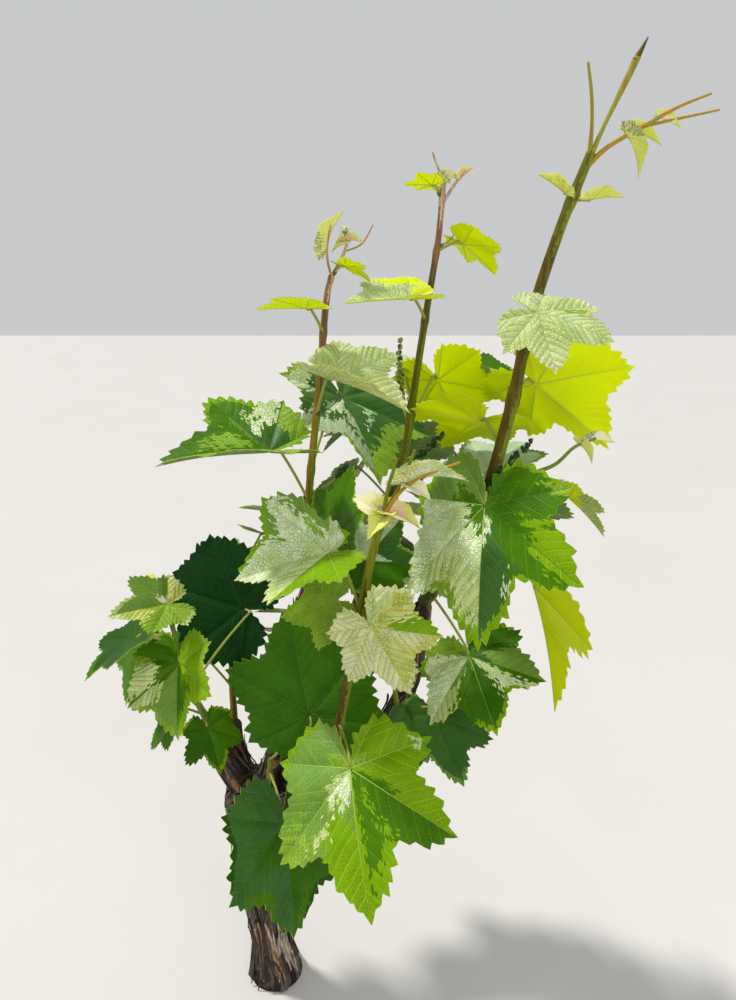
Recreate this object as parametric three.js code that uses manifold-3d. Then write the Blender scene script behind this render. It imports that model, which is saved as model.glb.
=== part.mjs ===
// Young grapevine: a short gnarled trunk, its woody arms and spurs, and the leafy green
// shoots of one spring. Millimetres, +Z up, the cut foot of the trunk on the plane z = 0.
// Headings are turned about +Z from +X. A dip points the tip below the horizontal.
import * as THREE from 'three';
import { mergeVertices } from 'three/addons/utils/BufferGeometryUtils.js';
import Module from 'manifold-3d';

const wasm = await Module();
wasm.setup();

// Driving dimensions
const CLEARANCE = 0.35;
const TRUNK_SIDES = 14;
const ARM_SIDES = 10;
const CANE_SIDES = 8;
const STALK_SIDES = 3;
const STALK_RADIUS = 1.3;
const STALK_STEPS = 2;
const STALK_ARCH = 0.08;
const LEAF_THICKNESS_SHARE = 0.0145;
const LEAF_LEAST_THICKNESS = 0.9;
const LARGE_BLADE = 75;
const SMALL_BLADE = 30;
const BLADE_DROOP = 0.12;
const NODE_SWELLING = 1.22;
const NODE_HALF_LENGTH = 6;
const BEAD_ROWS = 5;
const BEAD_RELIEF = 0.28;
const CLUSTER_STALK_RADIUS = 1.1;
const CLUSTER_SIDES = 5;
const FLUTE_RELIEF = 0.08;
const KNOT_RELIEF = 0.06;
const HEIGHT_HALVINGS = 40;

const FILL_SEED = 20260526;
const FILL_ATTEMPTS = 6;
const FILL_FOLD = 8;

// Colours and roughness of the materials
const BARK_ROUGHNESS = 0.95;
const LEAF_ROUGHNESS = 0.5;
const BARK_COLOUR = 0x3b2c22;
const SPUR_COLOUR = 0x4a3728;
const MATURE_LEAF = 0x4f8a2c;
const YOUNG_LEAF = 0x9db83a;
const SHADED_LEAF = 0x2f5f22;

// Blade outline: the tip, the two pairs of side lobes and the base lobes, as angles from the
// midrib with their reach, then how deep the bay after each lobe is. The blade's length is 1.
// The stalk is seated behind the hub, in the notch between the base lobes.
const LOBES = [
  { angle: 0, reach: 1.0, bay: 0.27 },
  { angle: 52, reach: 0.88, bay: 0.24 },
  { angle: 104, reach: 0.67, bay: 0.1 },
  { angle: 148, reach: 0.5, bay: 0 },
];
const NOTCH = { angle: 166, reach: 0.17 };
const STALK_SEAT = 0.1;
const BAY_SHARPNESS = 0.8;

// Wood: each limb's line, and its radius along that line
const TRUNK = {
  name: 'trunk',
  path: [
    [2, 0, 0], [-3, 0, 50], [-10, 0, 100], [-16, 0, 160], [-17, 0, 205], [-12, 0, 240], [-8, 0, 268],
  ],
  radii: [29, 19, 17, 17, 22, 28, 15],
  steps: 18,
};
const ARMS = [
  {
    name: 'arm_left',
    path: [[-18, 0, 238], [-38, 0, 275], [-44, -4, 300], [-46, -9, 318]],
    radii: [14, 12, 10, 8],
  },
  {
    name: 'arm_middle',
    path: [[0, 0, 245], [15, -8, 300], [27, -14, 360], [38, -20, 430], [54, -25, 492]],
    radii: [13, 10, 8, 7, 6],
  },
  {
    name: 'arm_right',
    path: [[15, -8, 238], [62, -14, 272], [112, -20, 318], [147, -16, 386], [157, -35, 475]],
    radii: [15, 12, 10, 9, 7.5],
  },
  {
    name: 'arm_centre',
    path: [[10, 8, 245], [48, 8, 300], [76, 0, 380], [92, -13, 451]],
    radii: [11, 9, 7.5, 6],
  },
  { name: 'spur_front', path: [[5, -14, 236], [36, -38, 260], [61, -54, 283]], radii: [10, 8, 6.5] },
  { name: 'spur_back_right', path: [[8, 12, 242], [45, 34, 288], [70, 44, 330]], radii: [11, 8, 6] },
  { name: 'spur_back_left', path: [[-18, 12, 238], [-34, 34, 268], [-38, 44, 300]], radii: [10, 8, 5.5] },
];

// Shoots: the cane's line, its radius at each end, and what grows on it. A leaf states the
// height of its node on the cane, its hub seen from there, the blade's length from hub to tip,
// the blade's heading, dip and roll, and how far its two halves fold up. A thread is a tendril,
// a cane's tip or a stalk by its own points. A cluster is a string of flower buds.
const SHOOTS = [
  {
    name: 'shoot_left',
    colour: MATURE_LEAF,
    arm: 'arm_middle',
    path: [[54, -25, 492], [54, -30, 565], [64, -30, 657], [72, -30, 734], [77, -30, 757]],
    radii: [3.9, 2.2],
    leaves: [
      { node: 568, hub: [-30, -20, 50], length: 92, heading: 190, dip: -2, roll: 12, fold: 25 },
      { node: 597, hub: [25, 80, 49], length: 100, heading: -60, dip: 32, roll: 12, fold: 8 },
      { node: 643, hub: [17, -27, 35], length: 65, heading: -14, dip: 13, roll: -9, fold: 30 },
      { node: 712, hub: [-12, -25, 21], length: 39, heading: 176, dip: -4, roll: -8, fold: 12 },
      { node: 756, hub: [11, -5, 8], length: 24, heading: 10, dip: 23, roll: 14, fold: 10 },
    ],
    threads: [
      { path: [[77, -30, 756], [74, -30, 768], [74, -30, 781], [77, -30, 795]], radii: [1.1, 0.8] },
      { path: [[77, -30, 756], [85, -30, 770], [89, -30, 780], [89, -30, 793]], radii: [1.6, 1.0] },
      { path: [[87, -30, 775], [101, -30, 781], [110, -30, 795]], radii: [0.8, 0.5] },
    ],
    tufts: [
      { hub: [74, -30, 780], length: 28, heading: 15, dip: -76, roll: 60, fold: 68 },
      { hub: [88, -30, 781], length: 13, heading: 165, dip: 10, roll: 30, fold: 40 },
      { hub: [89, -30, 783], length: 15, heading: -20, dip: -15, roll: 20, fold: 45 },
      { hub: [88, -31, 788], length: 12, heading: 80, dip: -50, roll: 0, fold: 50 },
    ],
    clusters: [{ path: [[56, -30, 575], [76, -32, 588], [88, -32, 602]], beads: [3.6, 2.2], from: 0.6 }],
    fill: { from: 505, to: 560, count: 2, heading: 80, stalk: 55, length: [70, 78] },
  },
  {
    name: 'shoot_middle',
    colour: MATURE_LEAF,
    arm: 'arm_centre',
    path: [
      [92, -13, 451], [121, -20, 548], [138, -20, 612], [144, -20, 656], [153, -20, 722], [162, -20, 784],
      [165, -20, 829],
    ],
    radii: [4.6, 2.0],
    leaves: [
      { node: 500, hub: [-27, -59, 54], length: 58, heading: 55, dip: -74, roll: 20, fold: 5 },
      { node: 500, hub: [-5, -43, 25], length: 61, heading: 4, dip: 5, roll: -34, fold: 10 },
      { node: 637, hub: [24, 10, 34], length: 66, heading: 32, dip: 56, roll: 38, fold: 12 },
      { node: 650, hub: [-8, 34, 28], length: 35, heading: 150, dip: -15, roll: 0, fold: 15 },
      { node: 722, hub: [-16, -31, 18], length: 51, heading: 192, dip: 0, roll: 10, fold: 15 },
      { node: 775, hub: [20, -5, 6], length: 38, heading: 14, dip: 32, roll: 14, fold: 10 },
      { node: 815, hub: [-9, -7, 9], length: 22, heading: 175, dip: -5, roll: -19, fold: 10 },
    ],
    threads: [
      { path: [[165, -20, 829], [160, -20, 838], [156, -20, 848]], radii: [1.2, 0.7] },
      { path: [[165, -20, 812], [176, -20, 828], [185, -20, 836]], radii: [1.4, 0.8] },
      { path: [[162, -20, 779], [170, -23, 783], [174, -25, 788]], radii: [0.7, 0.5] },
    ],
    tufts: [
      { hub: [164, -20, 829], length: 15, heading: 20, dip: -20, roll: 25, fold: 55 },
      { hub: [165, -20, 828], length: 14, heading: 150, dip: -35, roll: 25, fold: 60 },
      { hub: [179, -20, 831], length: 12, heading: 30, dip: -50, roll: 30, fold: 65 },
    ],
    clusters: [
      {
        path: [[139, -20, 640], [134, -22, 656], [132, -22, 680], [133, -22, 708]],
        beads: [5.2, 2.6],
        from: 0.3,
      },
      { path: [[136, -20, 604], [152, -32, 612], [170, -38, 631]], beads: [5.0, 3.0], from: 0.35 },
    ],
    fill: { from: 470, to: 620, count: 5, heading: 95, stalk: 62, length: [86, 66] },
  },
  {
    name: 'shoot_front',
    colour: YOUNG_LEAF,
    arm: 'spur_front',
    path: [
      [61, -54, 283], [72, -80, 340], [82, -100, 395], [97, -122, 484], [108, -130, 554], [118, -130, 591],
    ],
    radii: [5.0, 3.0],
    leaves: [
      { node: 390, hub: [11, -65, 4], length: 106, heading: -82, dip: 42, roll: -24, fold: -15 },
      { node: 468, hub: [-16, 7, 43], length: 46, heading: 220, dip: 0, roll: 75, fold: 15 },
      { node: 468, hub: [14, -40, 45], length: 60, heading: -25, dip: 58, roll: -70, fold: -15 },
      { node: 508, hub: [-26, 15, 44], length: 80, heading: 178, dip: 14, roll: 36, fold: 30 },
    ],
    threads: [
      { path: [[117, -130, 588], [121, -130, 612], [127, -129, 632]], radii: [1.7, 1.1] },
      { path: [[118, -130, 590], [130, -129, 614], [140, -128, 638]], radii: [1.8, 1.1] },
      {
        path: [[118, -130, 590], [128, -131, 606], [143, -131, 618], [172, -132, 630]],
        radii: [1.9, 1.0],
      },
    ],
    tufts: [
      { hub: [138, -131, 616], length: 38, heading: 5, dip: -22, roll: 15, fold: 50 },
      { hub: [117, -127, 588], length: 30, heading: 150, dip: -30, roll: 40, fold: 40 },
      { hub: [120, -131, 592], length: 26, heading: -10, dip: 10, roll: -35, fold: 45 },
      { hub: [119, -132, 590], length: 22, heading: 230, dip: 20, roll: 20, fold: 35 },
      { hub: [136, -131, 612], length: 18, heading: -30, dip: 12, roll: -30, fold: 40 },
    ],
    clusters: [],
  },
  {
    name: 'shoot_tall',
    colour: MATURE_LEAF,
    arm: 'arm_right',
    path: [
      [157, -35, 475], [176, -60, 525], [198, -80, 581], [216, -80, 658], [227, -80, 726], [244, -80, 789],
      [262, -80, 840],
    ],
    radii: [6.4, 3.2],
    leaves: [
      { node: 486, hub: [32, -40, -41], length: 74, heading: -80, dip: 22, roll: -26, fold: -10 },
      { node: 503, hub: [88, 20, -14], length: 112, heading: -58, dip: 60, roll: 60, fold: 15 },
      { node: 541, hub: [12, -45, 50], length: 108, heading: -104, dip: 54, roll: -23, fold: -15 },
      { node: 575, hub: [14, 49, 22], length: 58, heading: 50, dip: -21, roll: 0, fold: 10 },
      { node: 590, hub: [73, 22, -10], length: 42, heading: -20, dip: 38, roll: 20, fold: 25 },
      { node: 665, hub: [5, 86, 4], length: 40, heading: 177, dip: -28, roll: 7, fold: 20 },
      { node: 670, hub: [21, 20, 5], length: 84, heading: 12, dip: 36, roll: 50, fold: 20 },
      { node: 705, hub: [0, -38, 29], length: 56, heading: -30, dip: 12, roll: -34, fold: -20 },
      { node: 811, hub: [-8, -6, 3], length: 22, heading: 180, dip: -38, roll: 30, fold: 62 },
      { node: 808, hub: [13, -5, 1], length: 23, heading: 0, dip: -12, roll: 20, fold: 55 },
    ],
    threads: [
      { path: [[261, -80, 838], [261, -80, 858], [259, -80, 877], [255, -80, 896]], radii: [1.7, 1.1] },
      { path: [[262, -80, 838], [270, -80, 858], [282, -80, 885], [288, -80, 899]], radii: [1.9, 2.6] },
      { path: [[287, -80, 897], [290.5, -80, 904], [294, -80, 911]], radii: [2.6, 0.6] },
      {
        path: [[259, -80, 830], [274, -80, 844], [301, -80, 859], [320, -80, 869], [341, -80, 877]],
        radii: [2.0, 0.8],
      },
      { path: [[298, -80, 857], [323, -80, 862], [348, -80, 867]], radii: [1.2, 0.7] },
      {
        path: [[203, -84, 598], [218, -90, 606], [249, -90, 616], [265, -90, 631], [281, -90, 638]],
        radii: [2.0, 1.1],
      },
    ],
    tufts: [
      { hub: [286, -81, 850], length: 26, heading: -10, dip: 48, roll: 15, fold: 40 },
      { hub: [290, -80, 853], length: 20, heading: 0, dip: 8, roll: 40, fold: 60 },
      { hub: [309, -80, 862], length: 14, heading: 5, dip: 10, roll: 40, fold: 50 },
      { hub: [277, -90, 636], length: 18, heading: 15, dip: -15, roll: 30, fold: 55 },
      { hub: [269, -90, 633], length: 16, heading: -20, dip: 30, roll: 30, fold: 50 },
    ],
    clusters: [{ path: [[197, -82, 590], [208, -90, 608], [233, -90, 638]], beads: [5.4, 3.4], from: 0.3 }],
    fill: { from: 500, to: 640, count: 5, heading: 70, stalk: 66, length: [84, 66] },
  },
  {
    name: 'shoot_side',
    colour: SHADED_LEAF,
    arm: 'arm_left',
    path: [[-46, -9, 318], [-56, -38, 376], [-63, -50, 423], [-70, -50, 468]],
    radii: [3.6, 1.9],
    leaves: [
      { node: 390, hub: [46, 32, 66], length: 87, heading: 165, dip: -9, roll: 72, fold: 5 },
      { node: 423, hub: [3, -20, 9], length: 64, heading: -88, dip: 46, roll: -27, fold: 15 },
      { node: 460, hub: [0, -10, 24], length: 50, heading: 218, dip: -8, roll: 37, fold: 15 },
      { node: 400, hub: [-43, 15, 30], length: 62, heading: 215, dip: 62, roll: 0, fold: 0 },
      { node: 350, hub: [-28, -4, 8], length: 44, heading: 205, dip: 50, roll: 0, fold: 0 },
      { node: 345, hub: [6, -24, 6], length: 44, heading: -50, dip: 55, roll: 0, fold: 0 },
    ],
    threads: [{ path: [[-70, -50, 466], [-74, -50, 484], [-82, -50, 493]], radii: [1.5, 0.9] }],
    tufts: [
      { hub: [-82, -49, 493], length: 20, heading: 130, dip: -45, roll: 30, fold: 45 },
      { hub: [-73, -47, 483], length: 20, heading: 60, dip: -55, roll: 0, fold: 40 },
    ],
    clusters: [],
    fill: { from: 380, to: 450, count: 3, heading: 140, stalk: 50, length: [66, 54] },
  },
  {
    name: 'shoot_low',
    colour: SHADED_LEAF,
    arm: 'trunk',
    path: [[0, -22, 248], [9, -40, 285], [14, -52, 320]],
    radii: [3.6, 2.2],
    leaves: [
      { node: 318, hub: [39, -11, 58], length: 100, heading: 130, dip: -70, roll: 50, fold: 5 },
      { node: 300, hub: [22, -71, 3], length: 91, heading: -72, dip: 52, roll: 30, fold: 0 },
    ],
    threads: [],
    tufts: [],
    clusters: [],
  },
  {
    name: 'shoot_low_right',
    colour: SHADED_LEAF,
    arm: 'arm_right',
    path: [[124, -26, 334], [133, -45, 362], [130, -52, 400]],
    radii: [3.2, 2.0],
    leaves: [
      { node: 368, hub: [-10, -17, -4], length: 42, heading: -80, dip: 60, roll: 0, fold: 5 },
      { node: 370, hub: [32, -22, 10], length: 66, heading: -60, dip: 50, roll: -60, fold: 0 },
    ],
    threads: [],
    tufts: [],
    clusters: [],
  },
  {
    name: 'shoot_back_right',
    colour: SHADED_LEAF,
    arm: 'spur_back_right',
    path: [[70, 44, 330], [98, 62, 400], [122, 72, 480], [138, 76, 560], [146, 76, 610]],
    radii: [4.4, 2.0],
    leaves: [],
    threads: [],
    tufts: [],
    clusters: [],
    fill: { from: 350, to: 600, count: 9, heading: 85, stalk: 66, length: [96, 52] },
  },
  {
    name: 'shoot_back_left',
    colour: SHADED_LEAF,
    arm: 'spur_back_left',
    path: [[-38, 44, 300], [-40, 60, 360], [-30, 72, 430], [-24, 76, 476]],
    radii: [3.8, 1.8],
    leaves: [],
    threads: [],
    tufts: [],
    clusters: [],
    fill: { from: 320, to: 468, count: 6, heading: 115, stalk: 56, length: [80, 46] },
  },
];

const RADIANS = Math.PI / 180;
const vector = (p) => new THREE.Vector3(p[0], p[1], p[2]);
const curveThrough = (path) => new THREE.CatmullRomCurve3(path.map(vector), false, 'catmullrom', 0.5);

// Seeded draws between 0 and 1, the same on every run
function makeDraws(seed) {
  let state = seed;
  return () => {
    state = (state * 1664525 + 1013904223) % 4294967296;
    return state / 4294967296;
  };
}

// A closed solid from a cylinder whose points are moved: place(share, turn, rim) gives each
// one its new home. share runs from one end to the other, turn counts the sides, and rim is 0
// in the middle of an end and 1 round the side.
function shapedSolid(sides, steps, place) {
  const cylinder = new THREE.CylinderGeometry(1, 1, 1, sides, steps);
  cylinder.deleteAttribute('normal');
  cylinder.deleteAttribute('uv');
  const geometry = mergeVertices(cylinder);
  const { position } = geometry.attributes;
  for (let k = 0; k < position.count; k += 1) {
    const x = position.getX(k);
    const z = position.getZ(k);
    const turn = Math.round((Math.atan2(x, z) / (2 * Math.PI)) * sides + sides) % sides;
    const point = place(position.getY(k) + 0.5, turn, Math.round(Math.hypot(x, z)));
    position.setXYZ(k, point.x, point.y, point.z);
  }
  const mesh = new wasm.Mesh({
    numProp: 3,
    vertProperties: position.array,
    triVerts: new Uint32Array(geometry.index.array),
  });
  return new wasm.Manifold(mesh);
}

// Value along a list of evenly spaced stations
function along(values, share) {
  const place = Math.min(Math.max(share, 0), 1) * (values.length - 1);
  const low = Math.min(Math.floor(place), values.length - 2);
  return values[low] + (values[low + 1] - values[low]) * (place - low);
}

// A tube round a curve. Its rings are carried along with no twist, and radiusAt(share, angle)
// gives the radius all round.
function tube(curve, steps, sides, radiusAt, overrun = 0) {
  const rings = [];
  let side = null;
  for (let k = 0; k <= steps; k += 1) {
    const centre = curve.getPoint(k / steps);
    const tangent = curve.getTangent(k / steps).normalize();
    if (side === null) side = new THREE.Vector3(Math.abs(tangent.x) < 0.9 ? 1 : 0, 0.3, 0);
    side = side.clone().addScaledVector(tangent, -side.dot(tangent)).normalize();
    if (k === steps) centre.addScaledVector(tangent, overrun);
    rings.push({ centre, side, across: new THREE.Vector3().crossVectors(side, tangent) });
  }
  return shapedSolid(sides, steps, (share, turn, rim) => {
    const ring = rings[Math.round(share * steps)];
    const angle = (2 * Math.PI * turn) / sides;
    const radius = rim * radiusAt(share, angle);
    return ring.centre.clone()
      .addScaledVector(ring.side, radius * Math.sin(angle))
      .addScaledVector(ring.across, radius * Math.cos(angle));
  });
}

// The trunk stands on level rings, so its foot is a flat cut on the ground
function trunkSolid(margin) {
  const curve = curveThrough(TRUNK.path);
  return shapedSolid(TRUNK_SIDES, TRUNK.steps, (share, turn, rim) => {
    const angle = (2 * Math.PI * turn) / TRUNK_SIDES;
    const radius = rim * (along(TRUNK.radii, share) * ruggedness(share, angle) + margin);
    const point = curve.getPoint(share);
    point.x += radius * Math.sin(angle);
    point.y -= radius * Math.cos(angle);
    if (share === 1) point.z += margin;
    return point;
  });
}

// Old wood is fluted and lumpy
function ruggedness(share, angle) {
  const flutes = FLUTE_RELIEF * Math.sin(3 * angle + 9 * share);
  const knots = KNOT_RELIEF * Math.sin(5 * angle - 14 * share + 1);
  return 1 + flutes + knots;
}

function armSolid(arm, margin) {
  const steps = 3 * (arm.path.length - 1);
  const radiusAt = (share, angle) => along(arm.radii, share) * ruggedness(share, angle) + margin;
  return tube(curveThrough(arm.path), steps, ARM_SIDES, radiusAt, margin);
}

// Where a cane reaches a height
function nodeOn(curve, height) {
  let low = 0;
  let high = 1;
  for (let k = 0; k < HEIGHT_HALVINGS; k += 1) {
    const middle = (low + high) / 2;
    if (curve.getPoint(middle).z < height) low = middle;
    else high = middle;
  }
  return curve.getPoint(low);
}

// A cane, swollen at each of its nodes
function caneSolid(shoot, curve) {
  const heights = shoot.leaves.map((leaf) => leaf.node);
  const steps = 3 * (shoot.path.length - 1);
  const radiusAt = (share) => {
    const z = curve.getPoint(share).z;
    const swollen = heights.some((node) => Math.abs(z - node) < NODE_HALF_LENGTH);
    return along(shoot.radii, share) * (swollen ? NODE_SWELLING : 1);
  };
  return tube(curve, steps, CANE_SIDES, radiusAt);
}

function threadSolid(thread) {
  const steps = 2 * (thread.path.length - 1) + 1;
  return tube(curveThrough(thread.path), steps, STALK_SIDES, (share) => along(thread.radii, share));
}

// A string of flower buds: a lumpy spindle on a thin stalk
function clusterSolid(cluster) {
  const curve = curveThrough(cluster.path);
  const steps = 3 * BEAD_ROWS;
  const [widest, last] = cluster.beads;
  const radiusAt = (share, angle) => {
    if (share < cluster.from) return CLUSTER_STALK_RADIUS;
    const rest = (share - cluster.from) / (1 - cluster.from);
    const lumps = 1 + BEAD_RELIEF * Math.sin(BEAD_ROWS * 2 * Math.PI * rest + 2 * angle);
    return along([0.7 * widest, widest, last, 0.4 * last], rest) * lumps;
  };
  return tube(curve, steps, CLUSTER_SIDES, radiusAt);
}

// Reach of the blade at an angle from its midrib, where the blade's length is 1
function bladeReach(angle) {
  for (let k = 0; k + 1 < LOBES.length; k += 1) {
    const lobe = LOBES[k];
    const next = LOBES[k + 1];
    if (angle <= next.angle) {
      const share = (angle - lobe.angle) / (next.angle - lobe.angle);
      const straight = lobe.reach + (next.reach - lobe.reach) * share;
      return straight * (1 - lobe.bay * Math.sin(Math.PI * share) ** BAY_SHARPNESS);
    }
  }
  const base = LOBES[LOBES.length - 1];
  const share = (angle - base.angle) / (NOTCH.angle - base.angle);
  return base.reach + (NOTCH.reach - base.reach) * share ** 1.5;
}

// Angles where the outline gets a point, from the tip down one half of the blade. The lobes of
// a large blade get shoulders, and a small blade has no lobes at its foot.
function rimAngles(length) {
  const shares = length > LARGE_BLADE ? [0, 0.2, 0.5, 0.8] : [0, 0.5];
  const angles = [];
  for (let k = 0; k < 2; k += 1) {
    const width = LOBES[k + 1].angle - LOBES[k].angle;
    for (const share of shares) angles.push(LOBES[k].angle + width * share);
  }
  const [, , third, base] = LOBES;
  angles.push(third.angle);
  if (length > SMALL_BLADE) angles.push((third.angle + base.angle) / 2, base.angle);
  return [...angles, NOTCH.angle];
}

// The blade's own axes: along the midrib, across it, and out of its upper side
function bladeFrame(leaf) {
  const heading = leaf.heading * RADIANS;
  const dip = leaf.dip * RADIANS;
  const level = new THREE.Vector3(Math.cos(heading), Math.sin(heading), 0);
  const midrib = level.clone().multiplyScalar(Math.cos(dip));
  midrib.z -= Math.sin(dip);
  const up = level.clone().multiplyScalar(Math.sin(dip));
  up.z += Math.cos(dip);
  const across = new THREE.Vector3().crossVectors(midrib, up);
  across.applyAxisAngle(midrib, -leaf.roll * RADIANS);
  up.applyAxisAngle(midrib, -leaf.roll * RADIANS);
  return { midrib, across, up };
}

// A blade: a thin folded fan round its hub, with an upper and a lower skin
function bladeSolid(hub, leaf, extra = 0) {
  const frame = bladeFrame(leaf);
  const thickness = Math.max(LEAF_LEAST_THICKNESS, LEAF_THICKNESS_SHARE * leaf.length) + 2 * extra;
  const fold = leaf.fold * RADIANS;
  const half = rimAngles(leaf.length);
  const rim = [...half, ...half.slice(1).reverse().map((degrees) => -degrees)];
  return shapedSolid(rim.length, 1, (share, turn, out) => {
    const angle = rim[turn] * RADIANS;
    const reach = out * (bladeReach(Math.abs(rim[turn])) * leaf.length + extra);
    const u = reach * Math.sin(angle);
    const v = reach * Math.cos(angle);
    const droop = v > 0 ? (BLADE_DROOP * v * v) / leaf.length : 0;
    return hub.clone()
      .addScaledVector(frame.across, u * Math.cos(fold))
      .addScaledVector(frame.midrib, v)
      .addScaledVector(frame.up, Math.abs(u) * Math.sin(fold) - droop + (0.5 - share) * thickness);
  });
}

// A leaf's stalk, from inside the cane to the bay at the foot of the blade
function stalkSolid(root, leaf, extra = 0) {
  const hub = root.clone().add(vector(leaf.hub));
  const seat = hub.clone().addScaledVector(bladeFrame(leaf).midrib, -STALK_SEAT * leaf.length);
  const bend = root.clone().lerp(seat, 0.5);
  bend.z += STALK_ARCH * seat.distanceTo(root);
  const radius = Math.min(STALK_RADIUS, 0.5 + 0.02 * leaf.length) + extra;
  const curve = new THREE.QuadraticBezierCurve3(root, bend, seat);
  return tube(curve, STALK_STEPS, STALK_SIDES, () => radius);
}

// One leaf of the seeded rule: the leaves leave the cane by turns to its two sides, and shrink
// towards its end
function fillLeaf(rule, place, draws) {
  const share = (place + 0.5) / rule.count;
  const heading = rule.heading + (place % 2 === 0 ? 1 : -1) * (20 + 50 * draws());
  const rise = (15 + 45 * draws()) * RADIANS;
  const reach = rule.stalk * (0.7 + 0.5 * draws()) * (1 - 0.3 * share);
  const fullLength = rule.length[0] + (rule.length[1] - rule.length[0]) * share;
  return {
    node: rule.from + (rule.to - rule.from) * share,
    hub: [
      reach * Math.cos(rise) * Math.cos(heading * RADIANS),
      reach * Math.cos(rise) * Math.sin(heading * RADIANS),
      reach * Math.sin(rise),
    ],
    length: fullLength * (0.85 + 0.2 * draws()),
    heading: heading + 40 * (draws() - 0.5),
    dip: 15 + 45 * draws(),
    roll: 50 * (draws() - 0.5),
    fold: FILL_FOLD,
  };
}

const touches = (solid, others) => others.some((other) => !solid.intersect(other).isEmpty());
const largestBody = (solid) => solid.decompose().sort((a, b) => b.volume() - a.volume())[0];

// Wood, each arm cut clear of the trunk's head and of the arms before it
const grownWood = new Map([[TRUNK.name, trunkSolid(CLEARANCE)]]);
const woodSolids = new Map([[TRUNK.name, trunkSolid(0)]]);
for (const arm of ARMS) {
  let solid = armSolid(arm, 0);
  for (const grown of grownWood.values()) solid = solid.subtract(grown);
  woodSolids.set(arm.name, largestBody(solid));
  grownWood.set(arm.name, armSolid(arm, CLEARANCE));
}

// Shoots with their chosen leaves
const shootSolids = new Map();
for (const shoot of SHOOTS) {
  const curve = curveThrough(shoot.path);
  let solid = caneSolid(shoot, curve);
  for (const thread of shoot.threads) solid = solid.add(threadSolid(thread));
  for (const cluster of shoot.clusters) solid = solid.add(clusterSolid(cluster));
  for (const leaf of shoot.leaves) {
    const root = nodeOn(curve, leaf.node);
    const hub = root.clone().add(vector(leaf.hub));
    solid = solid.add(stalkSolid(root, leaf)).add(bladeSolid(hub, leaf));
  }
  for (const tuft of shoot.tufts) solid = solid.add(bladeSolid(vector(tuft.hub), tuft));
  shootSolids.set(shoot.name, largestBody(solid.subtract(grownWood.get(shoot.arm))));
}

// Leaves of the seeded rule: the first that fits at each place, clear of all the rest
const draws = makeDraws(FILL_SEED);
for (const shoot of SHOOTS) {
  if (!shoot.fill) continue;
  const curve = curveThrough(shoot.path);
  const others = [...woodSolids.values()];
  for (const [name, solid] of shootSolids) if (name !== shoot.name) others.push(solid);
  for (let place = 0; place < shoot.fill.count; place += 1) {
    let placed = false;
    for (let attempt = 0; attempt < FILL_ATTEMPTS; attempt += 1) {
      const leaf = fillLeaf(shoot.fill, place, draws);
      const root = nodeOn(curve, leaf.node);
      const hub = root.clone().add(vector(leaf.hub));
      const own = shootSolids.get(shoot.name);
      if (placed || touches(bladeSolid(hub, leaf, CLEARANCE), [own, ...others])) continue;
      if (touches(stalkSolid(root, leaf, CLEARANCE), others)) continue;
      shootSolids.set(shoot.name, own.add(stalkSolid(root, leaf)).add(bladeSolid(hub, leaf)));
      placed = true;
    }
  }
}

// One mesh from a finished solid
function meshOf(name, solid, color, roughness) {
  const data = solid.getMesh();
  const geometry = new THREE.BufferGeometry();
  geometry.setAttribute('position', new THREE.BufferAttribute(data.vertProperties, 3));
  geometry.setIndex(new THREE.BufferAttribute(data.triVerts, 1));
  geometry.computeVertexNormals();
  const material = new THREE.MeshStandardMaterial({ color, roughness, metalness: 0 });
  const mesh = new THREE.Mesh(geometry, material);
  mesh.name = name;
  return mesh;
}

const group = new THREE.Group();
for (const [name, solid] of woodSolids) {
  group.add(meshOf(name, solid, name === TRUNK.name ? BARK_COLOUR : SPUR_COLOUR, BARK_ROUGHNESS));
}
for (const shoot of SHOOTS) {
  group.add(meshOf(shoot.name, shootSolids.get(shoot.name), shoot.colour, LEAF_ROUGHNESS));
}

export default group;
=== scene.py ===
# Young grapevine: the bark, canes, leaves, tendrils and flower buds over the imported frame.
# The plant's numbers are in millimetres, as in the part's source, and meshes are in metres.
# Headings are turned about +Z from +X. A dip points the tip below the horizontal.
import math

import bpy
import numpy as np
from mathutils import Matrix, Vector
from mathutils.bvhtree import BVHTree


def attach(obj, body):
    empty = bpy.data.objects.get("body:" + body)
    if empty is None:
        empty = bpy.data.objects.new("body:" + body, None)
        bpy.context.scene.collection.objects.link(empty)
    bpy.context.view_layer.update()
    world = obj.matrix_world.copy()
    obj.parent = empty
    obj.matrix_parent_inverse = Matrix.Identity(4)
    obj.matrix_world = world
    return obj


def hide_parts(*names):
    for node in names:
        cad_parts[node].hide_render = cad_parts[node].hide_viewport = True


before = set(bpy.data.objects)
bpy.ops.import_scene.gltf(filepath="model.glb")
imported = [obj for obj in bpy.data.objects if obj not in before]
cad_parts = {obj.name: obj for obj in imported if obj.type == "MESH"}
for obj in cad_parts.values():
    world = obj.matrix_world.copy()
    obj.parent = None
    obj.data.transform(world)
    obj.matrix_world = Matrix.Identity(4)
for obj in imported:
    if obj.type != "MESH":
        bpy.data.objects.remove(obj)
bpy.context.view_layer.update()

MM = 0.001
BODY = "root"

# Setting: the photograph's own camera, in metres, degrees and millimetres, and what it looks at
CAMERA_PLACE = (0.106, -0.650, 0.765)
CAMERA_PITCH = 72.5
CAMERA_LENS = 26.82
SENSOR = 36.0
PLANT_MIDDLE = (0.1, 0.0, 0.5)
FLOOR_REACH = 8.0

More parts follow.
